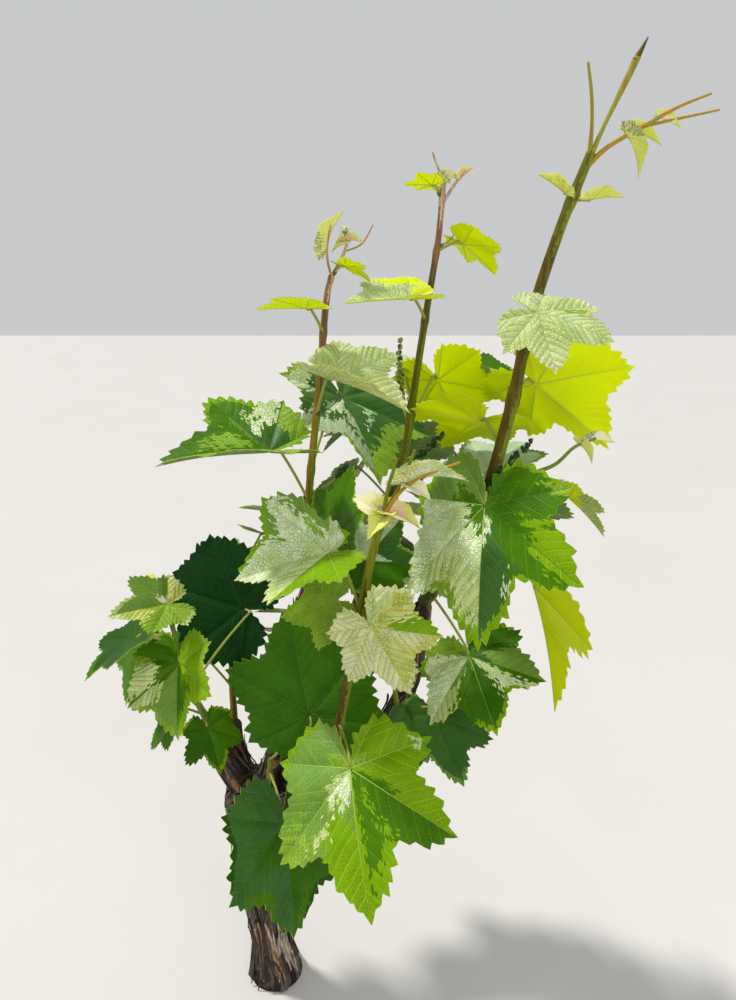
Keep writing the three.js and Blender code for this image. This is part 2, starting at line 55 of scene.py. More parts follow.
# The seeded rule for the leaves that the photograph hides, as in the part's source. Each pair is
# the least that can be drawn and how much more.
FILL_SEED = 20260526
FILL_ATTEMPTS = 6
FILL_TURN = (20, 50)
FILL_RISE = (15, 45)
FILL_REACH = (0.7, 0.5)
FILL_SHORTENING = 0.3
FILL_LENGTH = (0.85, 0.2)
FILL_SWING = 40
FILL_DIP = (15, 45)
FILL_ROLL = 50
FILL_FOLD = 8

# A hidden leaf stays where its hub and its lobes' tips, at shares of its length, are this near to
# the frame's node
LOBE_REACHES = (1.0, 0.88, 0.67)
HIT_DISTANCE = 2.0 * MM

# Seeds: each arm has one for its bark and one for its strips. Each shoot has a thousand, from which
# its hidden leaves, tufts and clusters have a range.
ARM_SEEDS = 21
ARM_STRIP_SEEDS = 41
SHOOT_SEEDS = 1000
HIDDEN_SEEDS = 500
TUFT_SEEDS = 700
CLUSTER_SEEDS = 900

# Leaves: the blade, its droop as a share of its length, and the rings of its mesh
LEAF_THICKNESS = 0.45
BLADE_DROOP = 0.12
SMALL_BLADE = 30
RING_SPACING = 3.8
HIDDEN_RING_SPACING = 6.0
RING_RANGE = (4, 30)
INNER_REACH = 0.985
TOOTH_RINGS = (0.45, 0.9, 1.0)
NORMAL_STEP = 0.4
SKIN_SEARCH = 5

# Veins: angles of the main ones from the midrib, then the side ones, then the main ones' ridges
PRIMARY_VEINS = (0, 52, 104, 148)
SECONDARY_ANGLE = math.radians(47)
SECONDARY_SPACING = 0.105
SECONDARY_BEND = 0.7
CLOSEST_VEINS = 3.0
VEIN_STATIONS = 16
VEIN_REACH = 0.93
VEIN_WIDTHS = (0.6, 0.16)
SMALLEST_VEINS = 0.45
HIND_VEIN = 0.7
VEIN_PROFILE = ((-1, -0.08), (0, 0.3), (1, -0.08), (0, -0.3))

# Half of the blade's outline: angle from the midrib and reach, where the blade's length is 1, and
# how many points it gets a degree
OUTLINE = (
    (0, 1.0), (4, 0.96), (8, 0.90), (13, 0.85), (20, 0.74), (27, 0.66), (34, 0.71), (40, 0.79), (46, 0.86),
    (52, 0.89), (58, 0.82), (64, 0.76), (72, 0.65), (80, 0.58), (88, 0.61), (95, 0.65), (104, 0.68),
    (112, 0.62), (122, 0.58), (134, 0.54), (148, 0.50), (156, 0.42), (166, 0.27), (173, 0.12), (180, 0.05),
)
OUTLINE_STEPS = 4

# Teeth: the lobe tips between which they stand, their period and size as shares of the blade's
# length, how far these vary, and a tooth's own outline
TOOTH_ANGLES = (0, 52, 104, 148, 166)
SINUS_ANGLES = (166, 170, 174, 178)
NOTCH_DEPTHS = (0.85, 1.25)
REAR_START = 70
REAR_SPAN = 25
TOOTH_PERIOD = 0.1
SHORTEST_TOOTH = 2.4
TOOTH_SHIFT = 0.28
TOOTH_SIZE = 0.05
TOOTH_SIZES = (0.4, 1.25)
LOBE_TOOTH = 1.1
TOOTH_LEAN = 0.35
TOOTH_SHAPE = ((0.0, 1.0), (0.22, 0.52), (0.48, 0.0), (0.76, 0.6))
SMALL_TOOTH_SHAPE = ((0.0, 1.0), (0.48, 0.0))

# Angles between neighbouring main veins, on both sides of each, and the blade's relief and waves
GAPS = (52, 52, 52, 44, 64)
PUFF = 0.008
ARCH = 0.016
VEIN_SINK = 0.004
WAVE_SIZES = (0.012, 0.028)

# How far a patch's edge swings with the side veins, wanders and is speckled: in angle, in share.
# Specks grow over the first degrees off a main vein, and come from a fixed scatter of the faces.
# They soften the edges of painted light and shade, so that a painted highlight breaks into glints.
PATCH_SWING = 0.22
PATCH_WANDER = (0.05, 0.03)
PATCH_SPECKS = (9.0, 0.09)
SPECK_GROWTH = 6
SPECK_SCATTER = (12.99, 78.23, 4375.85)

# The small leaves at the ends of the canes
TIP_SHAPE = {"narrow": 0.5, "lobing": 0.3}
TUFT_SHAPE = {"narrow": 0.6, "lobing": 0.35, "pleat": 1.5, "curl": 0.3}
TUFT_PATCHES = ((52, 180, 0.5, 1, "cream"), (-180, -40, 0.4, 1, "wool"), (-180, 180, 0.8, 1, "tender"))

# Stalks, canes and buds
STALK_ARCH = 0.08
STALK_SEAT = 0.1
STALK_RADIUS = 1.3
STALK_SIDES = 8
STALK_STATIONS = 12
STALK_PROFILE = ((0, 0.12, 0.8, 1), (1.35, 1.0, 0.9, 1.0))
END_BULGE = 0.5
CANE_SIDES = 18
CANE_RINGS = 30
RIB_DEPTH = 0.035
ZONE_BLURS = (0.06, 0.01)
# How far the painted light and shade of a cane's sunny side wanders round it
SUNNY_BLUR = 0.25
HEIGHT_HALVINGS = 40
NODE_REACH = 5.0
NODE_SWELLING = 0.2
NODE_BUD_RADIUS = 1.7
CLUSTER_STATIONS = 24
BUD_GROUPS = 12
GROUP_BUDS = 11
BUD_RADII = (1.0, 1.5)

# Bark: layers of relief, each a size round the limb, a stretch up it and a weight, then strips
BARK_LAYERS = ((9.0, 46.0, 0.42), (4.0, 30.0, 0.33), (2.0, 15.0, 0.25))
DRY_LENGTH = 28.0
TIP_ROUNDING = 0.8
STRIP_STATIONS = 9
STRIP_WIDTHS = (1.6, 4.6)
STRIP_THICKNESS = 0.7
STRIP_LIFTS = (1.0, 5.0)
STRIP_SEAT = 0.6
STRIP_DRIFT = 0.35
STRIP_TWIST = 0.7
GROUND_GAP = 0.6

# Wood: each limb's line, and its radius along that line
TRUNK = {
    "path": [
        (2, 0, 0), (-3, 0, 50), (-10, 0, 100), (-16, 0, 160), (-17, 0, 205), (-12, 0, 240), (-8, 0, 268),
    ],
    "radii": [29, 19, 17, 17, 22, 28, 15],
}
ARMS = [
    {
        "name": "arm_left",
        "path": [(-18, 0, 238), (-38, 0, 275), (-44, -4, 300), (-46, -9, 318)],
        "radii": [14, 12, 10, 8],
    },
    {
        "name": "arm_middle",
        "path": [(0, 0, 245), (15, -8, 300), (27, -14, 360), (38, -20, 430), (54, -25, 492)],
        "radii": [13, 10, 8, 7, 6],
    },
    {
        "name": "arm_right",
        "path": [(15, -8, 238), (62, -14, 272), (112, -20, 318), (147, -16, 386), (157, -35, 475)],
        "radii": [15, 12, 10, 9, 7.5],
    },
    {
        "name": "arm_centre",
        "path": [(10, 8, 245), (48, 8, 300), (76, 0, 380), (92, -13, 451)],
        "radii": [11, 9, 7.5, 6],
    },
    {"name": "spur_front", "path": [(5, -14, 236), (36, -38, 260), (61, -54, 283)], "radii": [10, 8, 6.5]},
    {"name": "spur_back_right", "path": [(8, 12, 242), (45, 34, 288), (70, 44, 330)], "radii": [11, 8, 6]},
    {
        "name": "spur_back_left",
        "path": [(-18, 12, 238), (-34, 34, 268), (-38, 44, 300)],
        "radii": [10, 8, 5.5],
    },
]

# Paints, in colours as they show in daylight (red, green, blue to 255): a leaf's body, vein net
# and soft patches, a stem's two tones, and the bark's two tones and roughness. Several leaf paints
# are painted light, shade or reflection, as marked at each.
LEAF_PAINTS = {
    # Painted shade: the dark green of a leaf lying in deep shadow.
    "night": ((18, 60, 20), (34, 78, 26), (14, 52, 16)),
    "bluish": ((60, 104, 36), (84, 126, 54), (50, 94, 28)),
    "shade": ((42, 84, 8), (58, 100, 14), (34, 74, 6)),
    "moss": ((58, 106, 10), (70, 118, 18), (50, 94, 8)),
    "fresh": ((70, 116, 4), (92, 138, 14), (58, 102, 4)),
    # In part painted light: the yellow-green of sunlit and lit-through parts.
    "bright": ((114, 156, 4), (142, 176, 28), (102, 144, 4)),
    # Painted light: the bright yellow-green of a leaf lit through from behind.
    "glow": ((198, 216, 2), (206, 220, 20), (190, 210, 2)),
    "lemon": ((206, 214, 40), (186, 198, 36), (214, 220, 76)),
    "cream": ((216, 220, 146), (150, 168, 56), (226, 230, 176)),
    "pearl": ((184, 202, 124), (124, 160, 46), (206, 220, 160)),
    # In part a painted sheen: pale grey-green like the sky's reflection on glossy leaves.
    "mist": ((176, 200, 150), (128, 164, 90), (196, 214, 178)),
    # Painted reflection: whitish glints of the sky on the quilted cells, with green lines between.
    "silver": ((240, 248, 222), (112, 150, 54), (186, 210, 138)),
    "sage": ((106, 144, 48), (136, 168, 78), (94, 132, 40)),
    "leek": ((128, 164, 44), (168, 194, 88), (108, 146, 34)),
    "felt": ((128, 152, 78), (150, 172, 98), (116, 142, 70)),
    "wool": ((226, 222, 176), (206, 200, 130), (234, 230, 200)),
    "blush": ((224, 186, 150), (204, 158, 112), (234, 212, 184)),
    "tender": ((206, 212, 96), (190, 200, 78), (220, 220, 136)),
    "straw": ((184, 194, 78), (128, 148, 26), (214, 218, 136)),
}
STEM_PAINTS = {
    "cane_green": ((100, 132, 32), (124, 142, 44)),
    "cane_shade": ((64, 72, 8), (52, 56, 6)),
    "cane_olive": ((98, 102, 12), (82, 82, 8)),
    "cane_leaf": ((122, 130, 18), (104, 110, 14)),
    "cane_brown": ((96, 78, 8), (78, 60, 6)),
    "cane_ochre": ((158, 126, 34), (134, 100, 26)),
    "cane_umber": ((142, 106, 70), (118, 84, 54)),
    "cane_rose": ((208, 180, 158), (164, 124, 94)),
    "spear": ((146, 156, 50), (150, 122, 40)),
    "stalk": ((150, 176, 70), (172, 150, 84)),
    "tendril": ((184, 134, 34), (150, 138, 40)),
    "vein": ((158, 186, 74), (178, 196, 96)),
    # The next three inks follow their leaves' painted light and shade: dim and dark veins for leaves in
    # painted shade, a bright yellow one for leaves painted lit through.
    "vein_dim": ((74, 116, 26), (88, 128, 38)),
    "vein_dark": ((34, 70, 20), (46, 84, 28)),
    "vein_glow": ((208, 214, 50), (218, 224, 100)),
    "vein_soft": ((158, 182, 92), (176, 196, 116)),
    # Painted light: the bright yellow-green of a leaf's edge wall, as if lit through.
    "rim": ((176, 200, 62), (200, 190, 70)),
    "bud": ((24, 54, 16), (48, 82, 24)),
    "bud_pale": ((112, 130, 52), (140, 144, 74)),
    "bud_brown": ((84, 92, 40), (60, 60, 28)),
}
# The bark's browns are darkened, in part as painted shade over the trunk.
BARK_PAINTS = {
    "bark_deep": ((22, 15, 12), (34, 25, 20), 0.95),
    "bark_mid": ((48, 36, 28), (68, 53, 42), 0.92),
    "bark_grey": ((104, 93, 82), (70, 57, 47), 0.9),
    "bark_tan": ((166, 130, 92), (112, 80, 55), 0.88),
    "bark_pale": ((198, 182, 166), (140, 118, 100), 0.88),
}

# Shoots. A leaf row is: height of its node on the cane, hub seen from the node, length, heading,
# dip, roll, fold, then the paints of its +across half, its other half, its margin and its
# underside, then its patches, and last what its blade has of its own. The halves are often a lit
# and a shaded tone, painted light and painted shade; the patches paint cast shadows, sunlit and
# lit-through parts and glossy reflections of the sky; the margin is a lighter edge, in part painted
# light. A zone of a cane is the share of its length where it ends, its paint, and the paint of its
# sunny side, which faces -X; the two tones across a cane are painted light and shade.
# A thread is a path, its radii and its paint. A tuft is a small leaf with no stalk: its hub,
# length, heading, dip, roll, fold and paint. A cluster is a path, its widest and last size, the
# share of the path where its buds start, and their paint. A fill is the rule's lowest and highest
# node, its count of leaves, heading and stalk, and the lengths of its first and last leaf.
SHOOTS = [{
    "name": "shoot_left",
    "path": [(54, -25, 492), (54, -30, 565), (64, -30, 657), (72, -30, 734), (77, -30, 757)],
    "radii": [3.9, 2.2],
    "zones": [
        (0.3, "cane_olive", "cane_olive"), (0.55, "cane_leaf", "cane_ochre"),
        (0.8, "cane_umber", "cane_umber"), (1.0, "cane_rose", "cane_umber"),
    ],
    "leaves": [
        (
            568, (-30, -20, 50), 92, 190, -2, 12, 25, "fresh", "leek", "bright", "sage",
            (52, 104, 0, 0.5, "bluish"), (62, 72, 0.3, 0.75, "silver"), (76, 102, 0.58, 1, "silver"),
            (104, 148, 0, 0.6, "bluish"), (104, 148, 0.6, 1, "leek"), (148, 180, 0, 1, "leek"),
            (8, 30, 0.3, 0.8, "leek"), (46, 52, 0.2, 0.7, "sage"), {"pleat": 1.6},
        ),
        (
            597, (25, 80, 49), 100, -60, 32, 12, 8, "bluish", "bluish", "leek", "felt",
            (86, 126, 0.66, 1, "silver"), (58, 86, 0.3, 1, "fresh"), (24, 44, 0.12, 0.5, "silver"),
            (0, 22, 0.34, 0.6, "silver"), (44, 58, 0.2, 0.5, "mist"), (-34, -10, 0.46, 0.54, "mist"),
            (-44, -36, 0.2, 0.44, "mist"), (-52, 0, 0.74, 1, "leek"), (0, 58, 0.7, 1, "mist"),
            {"pleat": 1.6},
        ),
        (643, (17, -27, 35), 65, -14, 13, -9, 30, "cream", "pearl", "cream", "cream", {"pleat": 2.5}),
        (712, (-12, -25, 21), 39, 176, -4, -8, 12, "glow", "glow", "lemon", "glow"),
        (756, (11, -5, 8), 24, 10, 23, 14, 10, "glow", "lemon", "lemon", "glow"),
    ],
    "threads": [
        ([(77, -30, 756), (74, -30, 768), (74, -30, 781), (77, -30, 795)], [1.1, 0.8], "cane_rose"),
        ([(77, -30, 756), (85, -30, 770), (89, -30, 780), (89, -30, 793)], [1.6, 1.0], "cane_rose"),
        ([(87, -30, 775), (101, -30, 781), (110, -30, 795)], [0.8, 0.5], "tendril"),
    ],
    "tufts": [
        ((74, -30, 780), 28, 15, -76, 60, 68, "tender"),
        ((88, -30, 781), 13, 165, 10, 30, 40, "tender"),
        ((89, -30, 783), 15, -20, -15, 20, 45, "blush"),
        ((88, -31, 788), 12, 80, -50, 0, 50, "wool"),
    ],
    "clusters": [([(56, -30, 575), (76, -32, 588), (88, -32, 602)], (3.6, 2.2), 0.6, "bud")],
    "fill": (505, 560, 2, 80, 55, (70, 78)),
}, {
    "name": "shoot_middle",
    "path": [
        (92, -13, 451), (121, -20, 548), (138, -20, 612), (144, -20, 656), (153, -20, 722), (162, -20, 784),
        (165, -20, 829),
    ],
    "radii": [4.6, 2.0],
    "zones": [
        (0.3, "cane_shade", "cane_shade"), (0.66, "cane_leaf", "cane_olive"),
        (0.8, "cane_olive", "cane_brown"), (0.92, "cane_umber", "cane_umber"),
        (1.0, "cane_rose", "cane_rose"),
    ],
    "leaves": [
        (500, (-27, -59, 54), 58, 55, -74, 20, 5, "fresh", "fresh", "bright", "fresh"),
        (
            500, (-5, -43, 25), 61, 4, 5, -34, 10, "moss", "mist", "leek", "felt",
            (-52, 0, 0.4, 1, "bluish"),
        ),
        (637, (24, 10, 34), 66, 32, 56, 38, 12, "bright", "leek", "leek", "glow"),
        (650, (-8, 34, 28), 35, 150, -15, 0, 15, "mist", "mist", "cream", "mist"),
        (
            722, (-16, -31, 18), 51, 192, 0, 10, 15, "pearl", "pearl", "lemon", "glow",
            (60, 180, 0.72, 1, "glow"), (120, 180, 0.3, 1, "lemon"), {"pleat": 2.0},
        ),
        (775, (20, -5, 6), 38, 14, 32, 14, 10, "glow", "glow", "lemon", "glow"),
        (815, (-9, -7, 9), 22, 175, -5, -19, 10, "lemon", "glow", "lemon", "glow"),
    ],
    "threads": [
        ([(165, -20, 829), (160, -20, 838), (156, -20, 848)], [1.2, 0.7], "cane_rose"),
        ([(165, -20, 812), (176, -20, 828), (185, -20, 836)], [1.4, 0.8], "cane_rose"),
        ([(162, -20, 779), (170, -23, 783), (174, -25, 788)], [0.7, 0.5], "tendril"),
    ],
    "tufts": [
        ((164, -20, 829), 15, 20, -20, 25, 55, "wool"),
        ((165, -20, 828), 14, 150, -35, 25, 60, "wool"),
        ((179, -20, 831), 12, 30, -50, 30, 65, "blush"),
    ],
    "clusters": [
        (
            [(139, -20, 640), (134, -22, 656), (132, -22, 680), (133, -22, 708)],
            (5.2, 2.6), 0.3, "bud_pale",
        ),
        ([(136, -20, 604), (152, -32, 612), (170, -38, 631)], (5.0, 3.0), 0.35, "bud"),
    ],
    "fill": (470, 620, 5, 95, 62, (86, 66)),
}, {
    "name": "shoot_front",
    "path": [
        (61, -54, 283), (72, -80, 340), (82, -100, 395), (97, -122, 484), (108, -130, 554),
        (118, -130, 591),
    ],
    "radii": [5.0, 3.0],
    "zones": [
        (0.25, "cane_brown", "cane_shade"), (0.7, "cane_leaf", "cane_brown"),
        (1.0, "cane_leaf", "cane_leaf"),
    ],
    "leaves": [
        (
            390, (11, -65, 4), 106, -82, 42, -24, -15, "sage", "bright", "bright", "felt",
            (104, 180, 0, 0.36, "leek"), (52, 72, 0.06, 0.34, "pearl"), (6, 52, 0.04, 0.34, "silver"),
            (16, 40, 0.34, 0.46, "pearl"), (40, 60, 0.78, 1, "leek"), (30, 38, 0.6, 0.9, "pearl"),
            (0, 30, 0.44, 1, "bright"), (56, 64, 0.7, 1, "leek"),
            (-24, -4, 0.12, 0.86, "fresh"), (-52, -28, 0, 1, "fresh"), (-66, -52, 0, 0.5, "fresh"),
            (-180, -104, 0.1, 0.3, "leek"), (-112, -98, 0.9, 1, "silver"), {"pleat": 1.5},
        ),
        (468, (-16, 7, 43), 46, 220, 0, 75, 15, "leek", "leek", "bright", "leek"),
        (
            468, (14, -40, 45), 60, -25, 58, -70, -15, "cream", "straw", "cream", "cream",
            (-52, -36, 0, 0.85, "cream"), (-74, -52, 0.3, 1, "bright"), (-180, -118, 0, 1, "pearl"),
            {"pleat": 2.5},
        ),
        (
            508, (-26, 15, 44), 80, 178, 14, 36, 30, "silver", "bright", "bright", "felt",
            (28, 46, 0.8, 1, "sage"), (62, 104, 0.68, 1, "sage"), (66, 92, 0.36, 0.62, "leek"),
            (-30, 0, 0, 1, "silver"), (-52, -30, 0, 1, "pearl"), {"rear": (0.5, 1.0), "pleat": 1.5},
        ),
    ],
    "threads": [
        ([(117, -130, 588), (121, -130, 612), (127, -129, 632)], [1.7, 1.1], "cane_leaf"),
        ([(118, -130, 590), (130, -129, 614), (140, -128, 638)], [1.8, 1.1], "cane_leaf"),
        ([(118, -130, 590), (128, -131, 606), (143, -131, 618), (172, -132, 630)], [1.9, 1.0], "tendril"),
    ],
    "tufts": [
        ((138, -131, 616), 38, 5, -22, 15, 50, "silver"),
        ((117, -127, 588), 30, 150, -30, 40, 40, "wool"),
        ((120, -131, 592), 26, -10, 10, -35, 45, "blush"),
        ((119, -132, 590), 22, 230, 20, 20, 35, "tender"),
        ((136, -131, 612), 18, -30, 12, -30, 40, "wool"),
    ],
}, {
    "name": "shoot_tall",
    "path": [
        (157, -35, 475), (176, -60, 525), (198, -80, 581), (216, -80, 658), (227, -80, 726),
        (244, -80, 789), (262, -80, 840),
    ],
    "radii": [6.4, 3.2],
    "zones": [
        (0.28, "cane_olive", "cane_shade"), (0.55, "cane_leaf", "cane_brown"),
        (0.82, "cane_olive", "cane_brown"), (1.0, "cane_leaf", "cane_olive"),
    ],
    "leaves": [
        (
            486, (32, -40, -41), 74, -80, 22, -26, -10, "sage", "fresh", "bright", "felt",
            (52, 116, 0.12, 1, "silver"), (116, 180, 0.3, 1, "leek"), (34, 52, 0.5, 1, "pearl"),
            (18, 34, 0.1, 1, "fresh"), (0, 18, 0.2, 1, "moss"), (-22, 0, 0.15, 1, "moss"),
            (-44, -22, 0.08, 1, "silver"), (-84, -52, 0.3, 1, "sage"), (-180, -84, 0.3, 1, "moss"),
            (-104, -52, 0, 0.32, "bluish"), {"pleat": 2.0},
        ),
        (503, (88, 20, -14), 112, -58, 60, 60, 15, "leek", "bright", "bright", "glow"),
        (
            541, (12, -45, 50), 108, -104, 54, -23, -15, "silver", "fresh", "bright", "felt",
            (104, 180, 0, 1, "sage"), (104, 130, 0, 0.5, "fresh"), (0, 104, 0, 0.24, "fresh"),
            (0, 52, 0.6, 0.9, "pearl"), (0, 40, 0.9, 1, "leek"), (-26, 0, 0.1, 1, "bluish"),
            (-26, 0, 0.14, 0.3, "silver"), (-22, -15, 0.86, 1, "silver"), (-74, -48, 0.55, 1, "bright"),
            (-112, -100, 0.86, 1, "leek"), {"pleat": 1.4},
        ),
        (575, (14, 49, 22), 58, 50, -21, 0, 10, "mist", "mist", "sage", "mist"),
        (
            590, (73, 22, -10), 42, -20, 38, 20, 25, "glow", "mist", "lemon", "glow",
            (0, 80, 0.4, 1, "pearl"), {"through": True},
        ),
        (665, (5, 86, 4), 40, 177, -28, 7, 20, "fresh", "leek", "bright", "leek"),
        (670, (21, 20, 5), 84, 12, 36, 50, 20, "bright", "leek", "leek", "glow"),
        (
            705, (0, -38, 29), 56, -30, 12, -34, -20, "pearl", "pearl", "cream", "cream",
            (-42, -24, 0.4, 1, "leek"), {"pleat": 2.5},
        ),
        (811, (-8, -6, 3), 22, 180, -38, 30, 62, "tender", "wool", "wool", "tender", TIP_SHAPE),
        (808, (13, -5, 1), 23, 0, -12, 20, 55, "tender", "tender", "wool", "tender", TIP_SHAPE),
    ],
    "threads": [
        ([(261, -80, 838), (261, -80, 858), (259, -80, 877), (255, -80, 896)], [1.7, 1.3, 1.2, 1.0], "spear"),
        ([(262, -80, 838), (270, -80, 858), (282, -80, 885), (288, -80, 899)], [2.0, 1.4, 2.3, 2.5], "spear"),
        ([(287, -80, 897), (290.5, -80, 904), (294, -80, 911)], [2.5, 1.5, 0.4], "cane_brown"),
        (
            [(259, -80, 830), (274, -80, 844), (301, -80, 859), (320, -80, 869), (341, -80, 877)],
            [2.0, 0.8],
            "tendril",
        ),
        ([(298, -80, 857), (323, -80, 862), (348, -80, 867)], [1.2, 0.7], "tendril"),
        (
            [(203, -84, 598), (218, -90, 606), (249, -90, 616), (265, -90, 631), (281, -90, 638)],
            [2.0, 1.1],
            "cane_green",
        ),
    ],
    "tufts": [
        ((286, -81, 850), 26, -10, 48, 15, 40, "tender"),
        ((290, -80, 853), 20, 0, 8, 40, 60, "tender"),
        ((309, -80, 862), 14, 5, 10, 40, 50, "wool"),
        ((277, -90, 636), 18, 15, -15, 30, 55, "wool"),
        ((269, -90, 633), 16, -20, 30, 30, 50, "tender"),
    ],
    "clusters": [([(197, -82, 590), (208, -90, 608), (233, -90, 638)], (5.4, 3.4), 0.3, "bud")],
    "fill": (500, 640, 5, 70, 66, (84, 66)),
}, {
    "name": "shoot_side",
    "path": [(-46, -9, 318), (-56, -38, 376), (-63, -50, 423), (-70, -50, 468)],
    "radii": [3.6, 1.9],
    "zones": [(1.0, "cane_green", "cane_leaf")],
    "leaves": [
        (
            390, (46, 32, 66), 87, 165, -9, 72, 5, "night", "night", "night", "bluish",
            {"lobing": 0.3, "pleat": 0.5},
        ),
        (
            423, (3, -20, 9), 64, -88, 46, -27, 15, "fresh", "bright", "leek", "felt",
            (54, 96, 0.5, 1, "pearl"), (32, 52, 0.45, 1, "pearl"), (92, 104, 0.6, 1, "leek"),
            (0, 32, 0, 1, "sage"), (-36, 0, 0, 0.85, "fresh"), {"pleat": 2.0},
        ),
        (
            460, (0, -10, 24), 50, 218, -8, 37, 15, "sage", "leek", "pearl", "felt",
            (30, 104, 0.06, 0.3, "wool"), (104, 180, 0, 1, "straw"), (-30, 0, 0.5, 1, "straw"),
            {"narrow": 0.85, "pleat": 2.5},
        ),
        (400, (-43, 15, 30), 62, 215, 62, 0, 0, "fresh", "fresh", "leek", "felt"),
        (350, (-28, -4, 8), 44, 205, 50, 0, 0, "moss", "fresh", "fresh", "felt"),
        (345, (6, -24, 6), 44, -50, 55, 0, 0, "moss", "fresh", "bright", "felt"),
    ],
    "threads": [([(-70, -50, 466), (-74, -50, 484), (-82, -50, 493)], [1.5, 0.9], "cane_green")],
    "tufts": [
        ((-82, -49, 493), 20, 130, -45, 30, 45, "tender"),
        ((-73, -47, 483), 20, 60, -55, 0, 40, "wool"),
    ],
    "fill": (380, 450, 3, 140, 50, (66, 54)),
}, {
    "name": "shoot_low",
    "path": [(0, -22, 248), (9, -40, 285), (14, -52, 320)],
    "radii": [3.6, 2.2],
    "zones": [(1.0, "cane_green", "cane_leaf")],
    "leaves": [
        (318, (39, -11, 58), 100, 130, -70, 50, 5, "moss", "moss", "moss", "shade", {"lobing": 0.75}),
        (
            300, (22, -71, 3), 91, -72, 52, 30, 0, "bluish", "shade", "shade", "felt",
            (20, 62, 0.1, 0.6, "moss"), (18, 42, 0.9, 1, "fresh"), (-52, 0, 0, 1, "moss"),
            (-16, -4, 0.84, 1, "fresh"), (-104, -52, 0.5, 1, "fresh"), {"lobing": 0.8},
        ),
    ],
}, {
    "name": "shoot_low_right",
    "path": [(124, -26, 334), (133, -45, 362), (130, -52, 400)],
    "radii": [3.2, 2.0],
    "zones": [(1.0, "cane_green", "cane_leaf")],
    "leaves": [
        (368, (-10, -17, -4), 42, -80, 60, 0, 5, "shade", "bluish", "shade", "felt"),
        (370, (32, -22, 10), 66, -60, 50, -60, 0, "bluish", "bluish", "sage", "bluish"),
    ],
}, {
    "name": "shoot_back_right",
    "path": [(70, 44, 330), (98, 62, 400), (122, 72, 480), (138, 76, 560), (146, 76, 610)],
    "radii": [4.4, 2.0],
    "zones": [(0.5, "cane_olive", "cane_ochre"), (1.0, "cane_green", "cane_olive")],
    "fill": (350, 600, 9, 85, 66, (96, 52)),
}, {
    "name": "shoot_back_left",
    "path": [(-38, 44, 300), (-40, 60, 360), (-30, 72, 430), (-24, 76, 476)],
    "radii": [3.8, 1.8],
    "zones": [(0.5, "cane_olive", "cane_ochre"), (1.0, "cane_green", "cane_olive")],
    "fill": (320, 468, 6, 115, 56, (80, 46)),
}]
FILL_LOOKS = [
    ("shade", "shade", "fresh", "felt"),
    ("fresh", "shade", "bright", "felt"),
    ("bluish", "shade", "leek", "felt"),
    ("fresh", "fresh", "bright", "sage"),
]
# Painted light: a fill leaf that shows its underside, painted bright as if lit through from behind.
LIT_LOOK = ("leek", "glow", "glow", "glow")
LIT_FILLS = (("shoot_tall", 1),)


# Materials

VEIN_MAP = "veins"
CELLS_ACROSS = 2.5
CELL_LENGTH = 2.9
CELL_SCATTER = 0.85
FLANK_SPACE = 40.0

# How each leaf paint departs from a plain one. Depths are in metres.
ROUGHNESS = {
    "plain": 0.44, "silver": 0.4, "mist": 0.42, "cream": 0.55, "felt": 0.7, "wool": 0.7, "blush": 0.7,
}
GLOSS = {
    "plain": 0.08, "silver": 0.5, "mist": 0.35, "glow": 0.06, "lemon": 0.06, "cream": 0.3, "pearl": 0.3,
    "sage": 0.2, "bluish": 0.16,
}
SHEEN = {"plain": 0.0, "wool": 0.25, "blush": 0.25, "felt": 0.25}
LET_THROUGH = {
    "plain": 0.0, "glow": 0.9, "lemon": 0.7, "bright": 0.35, "pearl": 0.5, "cream": 0.5, "silver": 0.4,
    "leek": 0.3, "tender": 0.5, "straw": 0.5,
}
NET_RELIEF = {
    "plain": 0.35, "silver": 1.0, "mist": 0.6, "cream": 1.0, "pearl": 0.9, "sage": 0.5, "leek": 0.6,
    "felt": 0.2, "glow": 0.03, "lemon": 0.03, "tender": 0.05, "wool": 0.05, "blush": 0.05, "straw": 1.0,
}
NET_DEPTH = {"plain": 0.0003, "silver": 0.0005, "cream": 0.0004, "pearl": 0.0004}
NET_SHARE = {
    "plain": 0.3, "silver": 1.0, "mist": 0.7, "leek": 0.7, "sage": 0.6, "cream": 1.0, "pearl": 1.0,
    "bright": 0.45, "wool": 0.15, "blush": 0.15, "tender": 0.15, "glow": 0.15, "lemon": 0.15, "straw": 1.0,
}
NET_WIDTH = {"plain": 0.12, "silver": 0.18, "cream": 0.2, "pearl": 0.2, "mist": 0.16, "straw": 0.22}
PLEAT_DEPTH = {"cream": 0.0012, "pearl": 0.0008, "straw": 0.0012, "silver": 0.0003, "leek": 0.0004}
SIDE_VEIN = {
    "silver": (170, 196, 96), "fresh": (96, 140, 20), "bright": (150, 182, 34), "shade": (56, 100, 16),
    "sage": (134, 166, 72), "leek": (156, 186, 72), "bluish": (80, 122, 52), "mist": (170, 194, 120),
    "pearl": (120, 158, 52), "cream": (150, 172, 60),
}
# Main veins take an ink that matches their leaf paint's painted light and shade.
MAIN_VEIN = {
    "plain": "vein", "night": "vein_dark", "shade": "vein_dim", "moss": "vein_dim", "bluish": "vein_dim",
    "fresh": "vein_dim", "glow": "vein_glow", "lemon": "vein_glow", "tender": "vein_glow",
    "silver": "vein_soft", "pearl": "vein_soft", "cream": "vein_soft", "mist": "vein_soft",
    "straw": "vein_soft",
}
STEM_ROUGHNESS = 0.5
STEM_GLOSS = 0.2
FLOOR_ROUGHNESS = 0.8
FLOOR_TONES = ((200, 198, 194), (206, 204, 201))
SPECK_DARKNESS = 0.35


def linear(colour):
    """A daylight colour, red, green and blue to 255, as Blender's linear values."""
    values = [c / 255 for c in colour]
    return tuple(v / 12.92 if v <= 0.04045 else ((v + 0.055) / 1.055) ** 2.4 for v in values) + (1.0,)


def of_paint(table, name):
    """A leaf paint's value in a table, or a plain leaf's."""
    return table.get(name, table["plain"])


